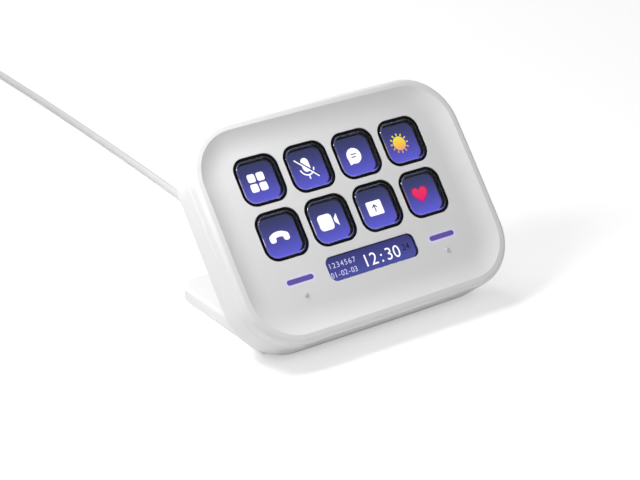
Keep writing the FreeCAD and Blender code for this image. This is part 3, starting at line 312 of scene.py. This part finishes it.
def moulded(name, colour, smooth, rough, grain_mm, grain_height_mm, strength, ior=1.54):
    """A moulded surface: grain as a bump, and a gloss that varies between smooth and rough."""
    tree, shader = new_material(name, Base_Color=linear(colour), IOR=ior)
    place = [("Vector", add_node(tree, "ShaderNodeTexCoord").outputs["Object"])]
    grain = add_node(tree, "ShaderNodeTexNoise", {"Scale": 1 / (grain_mm * MM)}, place)
    relief = {"Strength": strength, "Distance": grain_height_mm * MM}
    height = [("Height", grain.outputs[0])]
    add_node(tree, "ShaderNodeBump", relief, height, shader.inputs["Normal"])
    patches = {"Scale": 1 / (GLOSS_PATCH_MM * MM), "Detail": 3.0}
    gloss = [("Value", add_node(tree, "ShaderNodeTexNoise", patches, place).outputs[0])]
    limits = {"To Min": smooth, "To Max": rough}
    add_node(tree, "ShaderNodeMapRange", limits, gloss, shader.inputs["Roughness"])


# name, colour, roughness from and to, grain width and height in millimetres, bump strength
moulded("satin_moulded_abs", "#E9E9EA", 0.40, 0.50, 0.5, 0.012, 0.3)
moulded("black_moulded_abs", "#09090C", 0.22, 0.30, 0.4, 0.010, 0.3)
moulded("white_elastomer", "#F2F2F2", 0.50, 0.60, 0.6, 0.020, 0.3, ior=1.50)
# painted shade: the touch domes belong to the white shell, and this grey darkens their shaded side
moulded("grey_glossy_abs", "#C4C4C6", 0.15, 0.22, 0.4, 0.010, 0.2)
moulded("dark_moulded_silicone", "#1B1B1F", 0.55, 0.65, 0.4, 0.020, 0.4, ior=1.41)
moulded("grey_foot_rubber", "#3A3A3C", 0.75, 0.85, 0.8, 0.060, 0.6, ior=1.52)
moulded("black_chip_epoxy", "#141416", 0.40, 0.50, 0.3, 0.010, 0.4)
moulded("grey_powder_coat", "#56565A", 0.55, 0.65, 0.5, 0.030, 0.5)
print("materials so far:", len(bpy.data.materials))

# %% [markdown]
# ## Clear plastics and glass
#
# The key caps are polished polycarbonate, fully clear with a hard gloss. Polished mouldings are
# never quite flat, so a very long, very low wave stands for the last trace of flow. The lens of
# the information window is the same plastic with a faint smoke tint. The display's cover glass
# is black from behind and mirror-smooth.

# %% Clear materials
WAVE_MM = 25 / 3
WAVE_HEIGHT_MM = 0.01


def polished(name, colour, rough, ior, clear):
    """A polished surface with a long, low wave; clear is the share of light let through."""
    constants = {"Base_Color": linear(colour), "Roughness": rough, "IOR": ior}
    tree, shader = new_material(name, Transmission_Weight=clear, **constants)
    place = [("Vector", add_node(tree, "ShaderNodeTexCoord").outputs["Object"])]
    wave = add_node(tree, "ShaderNodeTexNoise", {"Scale": 1 / (WAVE_MM * MM)}, place)
    relief = {"Strength": 0.2, "Distance": WAVE_HEIGHT_MM * MM}
    height = [("Height", wave.outputs[0])]
    add_node(tree, "ShaderNodeBump", relief, height, shader.inputs["Normal"])


polished("polished_polycarbonate", "#F6F7FB", 0.03, 1.58, 1.0)
polished("smoked_polycarbonate", "#E4E4F0", 0.05, 1.58, 1.0)
polished("black_display_glass", "#050509", 0.06, 1.52, 0.0)
print("materials so far:", len(bpy.data.materials))

# %% [markdown]
# ## Metals
#
# Sheet steel keeps fine lines from rolling, so its pattern is stretched along one way. The tray
# is pressed from such sheet, the ballast is thicker plate with a coarser mill finish, and the
# screws and the plug's shell are plated, which is smoother. The touch pads are copper foil.

# %% Metal materials
LINE_HEIGHT_MM = 0.01
GLOSS_SPREAD = 0.06


def rolled_metal(name, colour, rough, line_mm, stretch):
    """A metal with lines that run one way; line_mm is the distance between them."""
    tree, shader = new_material(name, Base_Color=linear(colour), Metallic=1.0)
    place = [("Vector", add_node(tree, "ShaderNodeTexCoord").outputs["Object"])]
    place = [("Vector", add_node(tree, "ShaderNodeMapping", {"Scale": stretch}, place).outputs[0])]
    lines = add_node(tree, "ShaderNodeTexNoise", {"Scale": 1 / (line_mm * MM)}, place).outputs[0]
    relief = {"Strength": 0.3, "Distance": LINE_HEIGHT_MM * MM}
    add_node(tree, "ShaderNodeBump", relief, [("Height", lines)], shader.inputs["Normal"])
    limits = {"To Min": rough - GLOSS_SPREAD, "To Max": rough + GLOSS_SPREAD}
    add_node(tree, "ShaderNodeMapRange", limits, [("Value", lines)], shader.inputs["Roughness"])


rolled_metal("pressed_steel", "#B9BBC0", 0.35, 0.3, (0.05, 1, 1))
rolled_metal("mill_finish_steel", "#8E9094", 0.45, 0.6, (0.1, 1, 1))
rolled_metal("zinc_plated_steel", "#C3C5C8", 0.28, 0.4, (1, 1, 1))
rolled_metal("nickel_plated_steel", "#CFCCC6", 0.22, 0.4, (1, 0.1, 1))
rolled_metal("copper_foil", "#C98A5E", 0.30, 0.3, (1, 0.1, 1))
print("materials so far:", len(bpy.data.materials))

# %% [markdown]
# ## Board and contact sheet
#
# The circuit board is green solder mask over copper tracks, and the tracks show through as a
# slightly lighter pattern of right angles. The contact sheet under the springs is polyester film
# printed with carbon, dull and dark.

# %% Printed materials
TRACK_SHARE = 0.03


def printed(name, ground, ink, cell_mm, rough):
    """A flat sheet with a printed pattern of right angles in a second colour."""
    tree, shader = new_material(name, Roughness=rough)
    tracks = {
        "Color1": linear(ground),
        "Color2": linear(ground),
        "Mortar": linear(ink),
        "Scale": 1 / (cell_mm * MM),
        "Mortar Size": TRACK_SHARE,
    }
    place = [("Vector", add_node(tree, "ShaderNodeTexCoord").outputs["Object"])]
    add_node(tree, "ShaderNodeTexBrick", tracks, place, shader.inputs["Base Color"])


printed("green_solder_mask", "#12402C", "#2B6A48", 4.0, 0.35)
printed("printed_polyester_film", "#1C1B1A", "#35322E", 2.5, 0.45)
print("materials so far:", len(bpy.data.materials))

# %% [markdown]
# ## Lit pieces
#
# The pictures are lit from inside, so they shine instead of taking light. Each display picture
# has a ground that runs from navy at the top to violet at the bottom, and signs that are nearly
# white. A fine grid of pixels, each about an eighth of a millimetre wide as on such a display,
# breaks the light up a little. The light bars are frosted acrylic over a lamp, and the frost
# makes their glow slightly uneven.

# %% Lit materials
PIXEL_MM = 0.12
PIXEL_SHADE = (0.92, 0.92, 0.92, 1)
WHITE = (1, 1, 1, 1)


def lit_pixels(name, top, bottom, reach_mm, strength, bend=1.0):
    """A lit picture whose colour runs from top to bottom, reach_mm to each side of its middle."""
    material = bpy.data.materials.new(name)
    material.use_nodes = True
    tree = material.node_tree
    tree.nodes.clear()
    place = add_node(tree, "ShaderNodeTexCoord").outputs["Object"]
    along = add_node(tree, "ShaderNodeSeparateXYZ", {}, [(0, place)])
    limits = {"From Min": reach_mm * MM, "From Max": -reach_mm * MM}
    share = add_node(tree, "ShaderNodeMapRange", limits, [("Value", along.outputs["Y"])])
    bent = add_node(tree, "ShaderNodeMath", {"operation": "POWER"}, [(0, share.outputs[0])])
    bent.inputs[1].default_value = bend
    ends = {"Color1": linear(top), "Color2": linear(bottom)}
    colour = add_node(tree, "ShaderNodeMixRGB", ends, [("Fac", bent.outputs[0])])
    checks = {"Scale": 1 / (PIXEL_MM * MM), "Color1": WHITE, "Color2": PIXEL_SHADE}
    grid = add_node(tree, "ShaderNodeTexChecker", checks, [("Vector", place)])
    both = [("Color1", colour.outputs[0]), ("Color2", grid.outputs["Color"])]
    pixels = add_node(tree, "ShaderNodeMixRGB", {"blend_type": "MULTIPLY", "Fac": 1.0}, both)
    light = [("Color", pixels.outputs[0])]
    shine = add_node(tree, "ShaderNodeEmission", {"Strength": strength}, light)
    add_node(tree, "ShaderNodeOutputMaterial", {}, [("Surface", shine.outputs[0])])


GROUND_REACH = 6.6
lit_pixels("lit_violet_ground", "#40446B", "#6B69E6", GROUND_REACH, 1.0, 1.5)
lit_pixels("lit_window_ground", "#42437E", "#595DAE", 4.0, 1.0)
lit_pixels("lit_white_signs", "#FFFFFF", "#FFFFFF", GROUND_REACH, 1.4)
lit_pixels("lit_lilac_numbers", "#D2D1F2", "#D2D1F2", GROUND_REACH, 1.3)
lit_pixels("lit_dark_signs", "#3A3B6C", "#3E3D84", GROUND_REACH, 1.0)
lit_pixels("lit_yellow_sun", "#FFF03A", "#FFA864", 2.6, 1.15)
lit_pixels("lit_pink_heart", "#FF4058", "#F0187C", 3.4, 1.1)
lit_pixels("lit_magenta_rim", "#C82860", "#B02090", 3.4, 1.0)

FROST_MM = 10 / 9
acrylic = {"Base_Color": linear("#3C2F66"), "Emission_Color": linear("#7460BC"), "Roughness": 0.35}
tree, shader = new_material("lit_frosted_acrylic", **acrylic)
place = [("Vector", add_node(tree, "ShaderNodeTexCoord").outputs["Object"])]
frost = add_node(tree, "ShaderNodeTexNoise", {"Scale": 1 / (FROST_MM * MM)}, place)
limits = {"To Min": 0.42, "To Max": 0.58}
glow = [("Value", frost.outputs[0])]
add_node(tree, "ShaderNodeMapRange", limits, glow, shader.inputs["Emission Strength"])
print("materials so far:", len(bpy.data.materials))

# %% [markdown]
# ## Light that bleeds into the shell
#
# White plastic lets a little light through, so each light bar has a faint lilac edge about a
# millimetre wide, painted on the front shell as a glow. The front shell gets its own copy of the
# satin finish with that painted glow, whose strength falls with the distance from the bar. The
# distance is worked out in the deck's axes: first the two sides are folded onto each other,
# because both bars are alike, then the left and right half of that bar, then half its length is
# taken off. The last step drops the height above the face, and what is left is how far a place
# lies from the bar's middle line.

# %% Glow beside the light bars
BAR_SIDE, BAR_LOW, BAR_HALF, BAR_ROUND = 29.1, 18.1, 4.3, 0.8
GLOW_REACH, GLOW_LEVEL = 1.3, 0.22

# painted glow: an emission in the shell's own material stands for the bars' light inside the
# plastic
shell_with_painted_glow = bpy.data.materials["satin_moulded_abs"].copy()
shell_with_painted_glow.name = "satin_abs_beside_light_bars"
tree = shell_with_painted_glow.node_tree
lean = math.asin(DECK_UP.z)
to_deck = Matrix.Rotation(-lean, 3, "X")
moves = {"Rotation": (-lean, 0, 0), "Location": to_deck @ -DECK_ORIGIN}
place = add_node(tree, "ShaderNodeTexCoord").outputs["Object"]
spot = add_node(tree, "ShaderNodeMapping", moves, [("Vector", place)]).outputs[0]
only_in_plane = 1 / MM
for operation, across, up in (
    ("ADD", 0, BAR_LOW),
    ("ABSOLUTE", 0, 0),
    ("SUBTRACT", BAR_SIDE, 0),
    ("ABSOLUTE", 0, 0),
    ("SUBTRACT", BAR_HALF, 0),
    ("MAXIMUM", 0, 0),
    ("MULTIPLY", only_in_plane, only_in_plane),
):
    step = add_node(tree, "ShaderNodeVectorMath", {"operation": operation}, [(0, spot)])
    step.inputs[1].default_value = Vector((across, up, 0)) * MM
    spot = step.outputs[0]
away = add_node(tree, "ShaderNodeVectorMath", {"operation": "LENGTH"}, [(0, spot)])
fall = {"interpolation_type": "SMOOTHSTEP", "To Min": GLOW_LEVEL, "To Max": 0}
fall.update({"From Min": BAR_ROUND * MM, "From Max": (BAR_ROUND + GLOW_REACH) * MM})
shader = tree.nodes["Principled BSDF"]
shader.inputs["Emission Color"].default_value = linear("#8A6CFF")
distance = [("Value", away.outputs["Value"])]
add_node(tree, "ShaderNodeMapRange", fall, distance, shader.inputs["Emission Strength"])
print("glow reaches", GLOW_REACH, "mm")

# %% [markdown]
# ## Dress every solid
#
# Each solid of the model gets the material of the real piece, hidden pieces too, so that the
# part still looks right when it is opened up.

# %% Dress the solids
KEY_NUMBERS = [number for number, _, _ in key_centres()]
FINISHES = {
    "satin_abs_beside_light_bars": ["front_shell"],
    "satin_moulded_abs": ["rear_shell", "stand"],
    "white_elastomer": ["strain_relief", "cable_tie", "plug_body"],
    "polished_polycarbonate": ["key_cap_%d" % number for number in KEY_NUMBERS],
    "smoked_polycarbonate": ["information_lens"],
    "black_display_glass": ["key_display", "information_display"],
    "black_moulded_abs": ["key_frame"],
    "dark_moulded_silicone": ["key_spring_%d" % number for number in KEY_NUMBERS],
    "printed_polyester_film": ["switch_flex"],
    "green_solder_mask": ["main_board"],
    "black_chip_epoxy": ["board_parts"],
    "pressed_steel": ["display_tray"],
    "mill_finish_steel": ["ballast_plate"],
    "zinc_plated_steel": ["board_screws", "stand_screws", "base_screws"],
    "nickel_plated_steel": ["plug_shell"],
    "copper_foil": ["touch_electrode_left", "touch_electrode_right"],
    "lit_frosted_acrylic": ["light_guide_left", "light_guide_right"],
    "grey_powder_coat": ["base_cover"],
    "grey_foot_rubber": ["foot_pad"],
}
for material_name, node_names in FINISHES.items():
    for node_name in node_names:
        item = frame["nodes"][node_name]
        item.data.materials.clear()
        item.data.materials.append(bpy.data.materials[material_name])
cord_curve.materials.append(bpy.data.materials["white_elastomer"])
print("finishes:", len(FINISHES), "solids:", sum(len(names) for names in FINISHES.values()))

# %% [markdown]
# ## The springs
#
# Each cap stands on a thin-walled silicone collar, which gives way when the key goes down. The
# rigid solid would poke through the cap. Here each spring is a copy of its solid, with a mesh of
# its own, that rides with the housing, and the solid itself is hidden.

for number, across, up in key_centres():
    solid = frame["nodes"]["key_spring_%d" % number]
    spring = bpy.data.objects.new("silicone_spring_%d" % number, solid.data.copy())
    bpy.context.collection.objects.link(spring)
    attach(spring, "housing")
    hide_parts("key_spring_%d" % number)
    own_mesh(spring)

# %% [markdown]
# ## Outlines for the pictures
#
# The signs on the displays are flat shapes of light. Each is made of a few outlines: discs,
# rounded boxes, strokes with round ends and bands of an arc. A shape is a list of loops, where
# the first is its outer edge and any more are holes.

# %% Outline makers
STEPS, CORNER_STEPS = 40, 8


def arc(x, y, radius, start, end, steps=STEPS):
    """Points on an arc from start to end, in degrees."""
    points = []
    for index in range(steps + 1):
        angle = math.radians(start + (end - start) * index / steps)
        points.append((x + radius * math.cos(angle), y + radius * math.sin(angle)))
    return points


def disc(x, y, radius):
    """A full circle about x, y."""
    return arc(x, y, radius, 0, 360)[:-1]


def rounded_box(x, y, wide, tall, corner):
    """A box about x, y with round corners."""
    loop = []
    for quarter, (across, up) in enumerate(((1, 1), (-1, 1), (-1, -1), (1, -1))):
        centre = (x + across * (wide / 2 - corner), y + up * (tall / 2 - corner))
        loop += arc(*centre, corner, 90 * quarter, 90 * quarter + 90, CORNER_STEPS)
    return loop


def stroke(start, end, wide):
    """A straight stroke with round ends."""
    heading = math.degrees(math.atan2(end[1] - start[1], end[0] - start[0]))
    far_end = arc(*end, wide / 2, heading - 90, heading + 90, CORNER_STEPS)
    return far_end + arc(*start, wide / 2, heading + 90, heading + 270, CORNER_STEPS)


def arc_band(x, y, radius, wide, start, end):
    """A stroke along an arc, with square ends."""
    return arc(x, y, radius + wide / 2, start, end) + arc(x, y, radius - wide / 2, end, start)


print("a disc has", len(disc(0, 0, 1)), "corners")

# %% [markdown]
# ## From outlines to flat pieces
#
# Each outline is filled with triangles, so the picture is real geometry and stays sharp at any
# size. A flat piece is laid on the deck by its own axes and rides with the housing, because the
# display behind a clear key stays where it is while the key moves.

# %% Flat pieces on the deck
def place_on_deck(name, mesh, across, up, out):
    """Puts a mesh on the deck, in the deck's axes, where it rides with the housing."""
    piece = bpy.data.objects.new(name, mesh)
    bpy.context.collection.objects.link(piece)
    axes = Matrix((DECK_ACROSS, DECK_UP, DECK_OUT)).transposed().to_4x4()
    piece.matrix_world = Matrix.Translation(on_deck(across, up, out)) @ axes
    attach(piece, "housing")


def flat_piece(name, shapes, across, up, out, material_name):
    """A flat piece of light on the deck, of shapes in millimetres about its middle."""
    mesh = bpy.data.meshes.new(name)
    built = bmesh.new()
    for loops in shapes:
        rings = [[Vector((x, y, 0)) * MM for x, y in loop] for loop in loops]
        corners = [built.verts.new(point) for ring in rings for point in ring]
        for triangle in tessellate_polygon(rings):
            built.faces.new([corners[index] for index in triangle])
    bmesh.ops.recalc_face_normals(built, faces=built.faces)
    built.to_mesh(mesh)
    built.free()
    mesh.materials.append(bpy.data.materials[material_name])
    place_on_deck(name, mesh, across, up, out)


print("the deck's way up is", tuple(round(x, 3) for x in DECK_UP))

# %% [markdown]
# ## Signs of the upper row
#
# Each key has a plain sign that anyone would know. The upper row shows squares for a board of
# choices, a muted microphone, a speech bubble and a sun. A sign is a list of layers, each with
# its material and its shapes, from the bottom up; sizes are millimetres about the key's middle.

# %% Signs of the upper row
def squares_sign():
    shapes = [[rounded_box(x, y, 2.9, 2.9, 0.7)] for x in (-1.75, 1.75) for y in (-1.75, 1.75)]
    return [("lit_white_signs", shapes)]


def muted_sign():
    body = [[stroke((0.2, 2.4), (0.2, 0.4), 3.0)]]
    holder = [[arc_band(0.2, 0.5, 2.7, 0.5, 190, 350)], [stroke((0.2, -2.2), (0.2, -3.5), 0.5)]]
    gap = [[stroke((-2.4, 3.45), (4.1, -3.05), 0.45)]]
    bar = [[stroke((-3.4, 3.7), (3.7, -3.4), 0.45)]]
    return [("lit_white_signs", body + holder), ("lit_dark_signs", gap), ("lit_white_signs", bar)]


def bubble_sign():
    tail = [(-2.6, -0.8), (-2.4, -3.0), (-0.4, -2.5)]
    lines = [[stroke((-0.9, 0.6), (1.1, 0.6), 0.35)], [stroke((-0.9, -0.4), (0.6, -0.4), 0.35)]]
    return [("lit_white_signs", [[disc(0.1, 0, 2.85)], [tail]]), ("lit_dark_signs", lines)]


def sun_sign():
    rays = []
    for degrees in range(0, 360, 30):
        angle = math.radians(degrees)
        near, far = [(r * math.cos(angle), r * math.sin(angle)) for r in (3.0, 3.45)]
        rays.append([stroke(near, far, 0.5)])
    return [("lit_yellow_sun", rays + [[disc(0, 0, 2.55)]])]


UPPER_SIGNS = (squares_sign, muted_sign, bubble_sign, sun_sign)
print("upper signs:", len(UPPER_SIGNS))

# %% [markdown]
# ## Signs of the lower row
#
# The lower row shows a handset, a video camera, a box with an arrow, and a heart. The heart is a
# well-known curve, a sine cubed across and a sum of cosines up. Its wider copy in magenta lies
# underneath, so that it shows as a darker rim.

# %% Signs of the lower row
HEART_LOBES, HEART_TALL, HEART_RISE = (13, -5, -2, -1), 15.5, 0.25


def handset_sign():
    grip = [[arc_band(0.0, -4.35, 5.15, 1.9, 58, 122)]]
    ends = [[rounded_box(x, -0.5, 2.35, 2.7, 0.9)] for x in (-2.6, 2.6)]
    return [("lit_white_signs", grip + ends)]


def video_sign():
    lens = [(2.6, -0.6), (4.0, -2.2), (4.0, 2.2), (2.6, 0.6)]
    return [("lit_white_signs", [[rounded_box(-0.8, 0, 5.6, 5.6, 1.4)], [lens]])]


def box_sign():
    arrow = [[stroke((0, 1.1), (0, -1.2), 0.4)], [stroke((-0.85, 0.3), (0, 1.15), 0.4)]]
    arrow += [[stroke((0.85, 0.3), (0, 1.15), 0.4)]]
    return [("lit_white_signs", [[rounded_box(0, 0, 6.1, 5.1, 0.6)]]), ("lit_dark_signs", arrow)]


def heart_loop(half_wide):
    """A plain heart, half_wide to each side."""
    loop = []
    for index in range(STEPS):
        turn = TURN * index / STEPS
        lobes = sum(lobe * math.cos(k * turn) for k, lobe in enumerate(HEART_LOBES, start=1))
        up = HEART_RISE + half_wide * lobes / HEART_TALL
        loop.append((half_wide * math.sin(turn) ** 3, up))
    return loop


def heart_sign():
    return [("lit_magenta_rim", [[heart_loop(3.45)]]), ("lit_pink_heart", [[heart_loop(3.0)]])]


LOWER_SIGNS = (handset_sign, video_sign, box_sign, heart_sign)
print("lower signs:", len(LOWER_SIGNS))

# %% [markdown]
# ## The eight key pictures
#
# Under the face come the clear cap, an air gap for its travel, and then the display, whose
# picture therefore looks sunk when it is seen from the side. The signs stand a hair above the
# violet ground, and dark details a hair above the signs. The ground is a little smaller than the
# well it fills, which leaves the black ring, and it sits slightly to the right in it.

# %% Pictures behind the keys
LAYER = 0.02
GLASS_TOP = -3.35
PICTURE_LEVEL = GLASS_TOP + LAYER
GROUND_WIDE, GROUND_TALL, GROUND_ROUND = 13.2, 13.3, 3.0
GROUND_ASIDE, GROUND_RAISED = 0.6, 0.1

for (number, across, up), sign in zip(key_centres(), UPPER_SIGNS + LOWER_SIGNS):
    ground = [[rounded_box(0, 0, GROUND_WIDE, GROUND_TALL, GROUND_ROUND)]]
    ground_place = (across + GROUND_ASIDE, up + GROUND_RAISED, PICTURE_LEVEL)
    flat_piece("picture_ground_%d" % number, ground, *ground_place, "lit_violet_ground")
    for layer, (material_name, shapes) in enumerate(sign(), start=1):
        level = PICTURE_LEVEL + layer * LAYER
        name = "picture_sign_%d_%d" % (number, layer)
        flat_piece(name, shapes, across, up, level, material_name)
print("pictures at", PICTURE_LEVEL, "mm")

# %% [markdown]
# ## The information window
#
# The long window shows plain numbers in the manner of a clock: large ones in the middle, two
# rows of small ones on the left, and a small dark number on the right. The digits come from
# Blender's own text outlines, one at a time, so that they keep one pitch as on a real display.
# Blender's digits are lower than its text size, so DIGIT_SCALE turns the height of a digit into
# that size. The display lies right under the lens.

# %% Numbers in the window
LENS_THICK = 1.7
WINDOW_LEVEL = -LENS_THICK + LAYER
WINDOW_LOW = 18.0
WINDOW_WIDE, WINDOW_TALL, WINDOW_ROUND = 35.4, 8.0, 2.3
DIGIT_SCALE, DIGIT_STEPS = 1.38, 4


def number_piece(name, text, across, up, tall, pitch, material_name):
    """A row of digits about a place in the window, all of one pitch; sizes in millimetres."""
    digits = []
    for index, sign in enumerate(text):
        curve = bpy.data.curves.new(name, "FONT")
        curve.body = sign
        curve.align_x = "CENTER"
        curve.size = tall * DIGIT_SCALE * MM
        curve.resolution_u = DIGIT_STEPS
        letter = bpy.data.objects.new(name, curve)
        bpy.context.collection.objects.link(letter)
        bpy.context.view_layer.update()
        evaluated = letter.evaluated_get(bpy.context.evaluated_depsgraph_get())
        outline = bpy.data.meshes.new_from_object(evaluated)
        digits.append((outline, (index - (len(text) - 1) / 2) * pitch))
        bpy.data.objects.remove(letter)
    built = bmesh.new()
    for outline, shift in digits:
        start = len(built.verts)
        built.from_mesh(outline)
        built.verts.ensure_lookup_table()
        for corner in built.verts[start:]:
            corner.co += Vector((shift, -tall / 2, 0)) * MM
    mesh = bpy.data.meshes.new(name)
    built.to_mesh(mesh)
    built.free()
    mesh.materials.append(bpy.data.materials[material_name])
    place_on_deck(name, mesh, across, up - WINDOW_LOW, WINDOW_LEVEL + LAYER)


lit_window = [[rounded_box(0, 0, WINDOW_WIDE, WINDOW_TALL, WINDOW_ROUND)]]
flat_piece("window_ground", lit_window, 0, -WINDOW_LOW, WINDOW_LEVEL, "lit_window_ground")
number_piece("window_clock", "12:30", 3.9, -0.3, 4.4, 3.15, "lit_white_signs")
number_piece("window_days", "1234567", -11.5, 1.3, 1.9, 1.6, "lit_lilac_numbers")
number_piece("window_date", "01-02-03", -11.9, -1.9, 1.9, 1.35, "lit_lilac_numbers")
number_piece("window_mark", "24", 14.3, 0.2, 2.2, 1.6, "black_display_glass")
print("window is", WINDOW_WIDE, "by", WINDOW_TALL, "mm")

# %% [markdown]
# ## Touch points
#
# Under each light bar a small dome stands on the face, so that a finger finds the touch place
# without looking. The shell has a low point there, and this turned dome gives it its full round
# top. Its outline is a quarter of an ellipse, turned about the way out of the deck. Its grey is
# painted shade: the dome is part of the white shell, and the grey makes its shaded side darker on
# the white face.

# %% Domes on the touch points
POINT_LOW, POINT_RADIUS, POINT_TALL = 23.45, 0.85, 0.55
DOME_RINGS, DOME_SIDES = 8, 24


def dome(name, across, up):
    """A turned dome that stands on the deck."""
    built = bmesh.new()
    rings = []
    for ring in range(DOME_RINGS):
        rise = math.pi / 2 * ring / DOME_RINGS
        level = POINT_TALL * math.sin(rise) * MM
        outline = arc(0, 0, POINT_RADIUS * math.cos(rise), 0, 360, DOME_SIDES)[:-1]
        rings.append([built.verts.new((x * MM, y * MM, level)) for x, y in outline])
    top = built.verts.new((0, 0, POINT_TALL * MM))
    for side in range(DOME_SIDES):
        onward = (side + 1) % DOME_SIDES
        for low, high in zip(rings, rings[1:]):
            built.faces.new((low[side], low[onward], high[onward], high[side]))
        built.faces.new((rings[-1][side], rings[-1][onward], top))
    for face in built.faces:
        face.smooth = True
    mesh = bpy.data.meshes.new(name)
    built.to_mesh(mesh)
    built.free()
    # painted shade: the grey darkens the dome's shaded side below the white of the shell
    mesh.materials.append(bpy.data.materials["grey_glossy_abs"])
    place_on_deck(name, mesh, across, up, 0)


for side, name in ((-BAR_SIDE, "touch_dome_left"), (BAR_SIDE, "touch_dome_right")):
    dome(name, side, -POINT_LOW)
print("domes are", POINT_TALL, "mm tall")

# %% [markdown]
# ## The table
#
# The photograph has a pure white ground that still takes a soft shadow. The floor is a pale
# diffuse sheet with a little extra light that only the camera sees, straight or through the
# clear keys, so its lit part reaches white and its shadowed part stays a light grey.

# %% Floor
FLOOR_HALF = 6
FLOOR_LIFT = 0.41

floor_mesh = bpy.data.meshes.new("floor")
sheet = bmesh.new()
bmesh.ops.create_grid(sheet, x_segments=1, y_segments=1, size=FLOOR_HALF)
sheet.to_mesh(floor_mesh)
sheet.free()
floor = bpy.data.objects.new("floor", floor_mesh)
bpy.context.collection.objects.link(floor)
white_floor = bpy.data.materials.new("white_table")
white_floor.use_nodes = True
tree = white_floor.node_tree
tree.nodes.clear()
rays = add_node(tree, "ShaderNodeLightPath")
straight_or_through = [(0, rays.outputs["Is Camera Ray"]), (1, rays.outputs["Is Transmission Ray"])]
seen = add_node(tree, "ShaderNodeMath", {"operation": "MAXIMUM"}, straight_or_through)
lift = add_node(tree, "ShaderNodeMath", {"operation": "MULTIPLY"}, [(0, seen.outputs[0])])
lift.inputs[1].default_value = FLOOR_LIFT
paint = add_node(tree, "ShaderNodeBsdfDiffuse", {"Color": linear("#EEEEEE")})
strength = [("Strength", lift.outputs[0])]
shine = add_node(tree, "ShaderNodeEmission", {"Color": WHITE}, strength)
both = add_node(tree, "ShaderNodeAddShader", {}, [(0, paint.outputs[0]), (1, shine.outputs[0])])
add_node(tree, "ShaderNodeOutputMaterial", {}, [("Surface", both.outputs[0])])
floor_mesh.materials.append(white_floor)
print("floor is", 2 * FLOOR_HALF, "m wide")

# %% [markdown]
# ## The studio around it
#
# The world is a plain studio that is dark behind the object and brightens towards the front, so
# the face takes an even, soft light. A small dark card hangs where the clear keys would mirror
# the studio, so their wells stay black. The camera itself sees plain white past the floor.

# %% World
BRIGHT_WAY = Vector((0, -1, 0))
DARK_LEVEL, BRIGHT_LEVEL = 0.0, 0.77
DARK_CARD_WAY = Vector((0.53, -0.55, 0.64)).normalized()
CARD_INNER, CARD_OUTER, CARD_LEVEL = 0.985, 0.93, 0.10

world = bpy.data.worlds.new("studio")
bpy.context.scene.world = world
world.use_nodes = True
tree = world.node_tree
tree.nodes.clear()
way = add_node(tree, "ShaderNodeTexCoord").outputs["Generated"]


def level_toward(direction, settings):
    """A level that runs with the angle between the way looked at and a direction."""
    toward = add_node(tree, "ShaderNodeVectorMath", {"operation": "DOT_PRODUCT"}, [(0, way)])
    toward.inputs[1].default_value = direction
    share = [("Value", toward.outputs["Value"])]
    return add_node(tree, "ShaderNodeMapRange", settings, share).outputs[0]


sky = {"From Min": -1, "From Max": 1, "To Min": DARK_LEVEL, "To Max": BRIGHT_LEVEL}
card = {"From Min": CARD_OUTER, "From Max": CARD_INNER, "To Min": 1.0, "To Max": CARD_LEVEL}
card["interpolation_type"] = "SMOOTHSTEP"
parts = [(0, level_toward(BRIGHT_WAY, sky)), (1, level_toward(DARK_CARD_WAY, card))]
level = add_node(tree, "ShaderNodeMath", {"operation": "MULTIPLY"}, parts)
rays = add_node(tree, "ShaderNodeLightPath")
strength = [("Strength", level.outputs[0])]
studio = add_node(tree, "ShaderNodeBackground", {"Color": WHITE}, strength)
plain = add_node(tree, "ShaderNodeBackground", {"Color": WHITE, "Strength": 1.0})
choice = [(0, rays.outputs["Is Camera Ray"]), (1, studio.outputs[0]), (2, plain.outputs[0])]
pick = add_node(tree, "ShaderNodeMixShader", {}, choice)
add_node(tree, "ShaderNodeOutputWorld", {}, [("Surface", pick.outputs[0])])
print("world levels:", DARK_LEVEL, BRIGHT_LEVEL)

# %% [markdown]
# ## The lamps
#
# Two lamps complete the light. A broad one above and behind lights the top of the slab and the
# table, and leaves the slope under the upper rim darker. A small one near the upper left corner
# makes the face brighter on that side, as in the photograph. Both look at the slab's middle, and
# the camera doesn't see them.

# %% Lamps
LAMP_TARGET = Vector((0, 0, 0.03))


def add_lamp(name, place, size, power):
    """A square area lamp that looks at the slab; its place and size in metres, power in watts."""
    data = bpy.data.lights.new(name, "AREA")
    data.shape = "SQUARE"
    data.size = size
    data.energy = power
    lamp = bpy.data.objects.new(name, data)
    bpy.context.collection.objects.link(lamp)
    lamp.location = place
    lamp.visible_camera = False
    lamp.rotation_mode = "QUATERNION"
    lamp.rotation_quaternion = (LAMP_TARGET - Vector(place)).to_track_quat("-Z", "Y")


add_lamp("back_lamp", (0, 0.6, 0.8), size=0.5, power=3.1)
add_lamp("near_lamp", (-0.11, 0.022, 0.178), size=0.07, power=0.265)
bpy.context.scene.view_settings.view_transform = "Standard"
print("lamps:", len(bpy.data.lights))
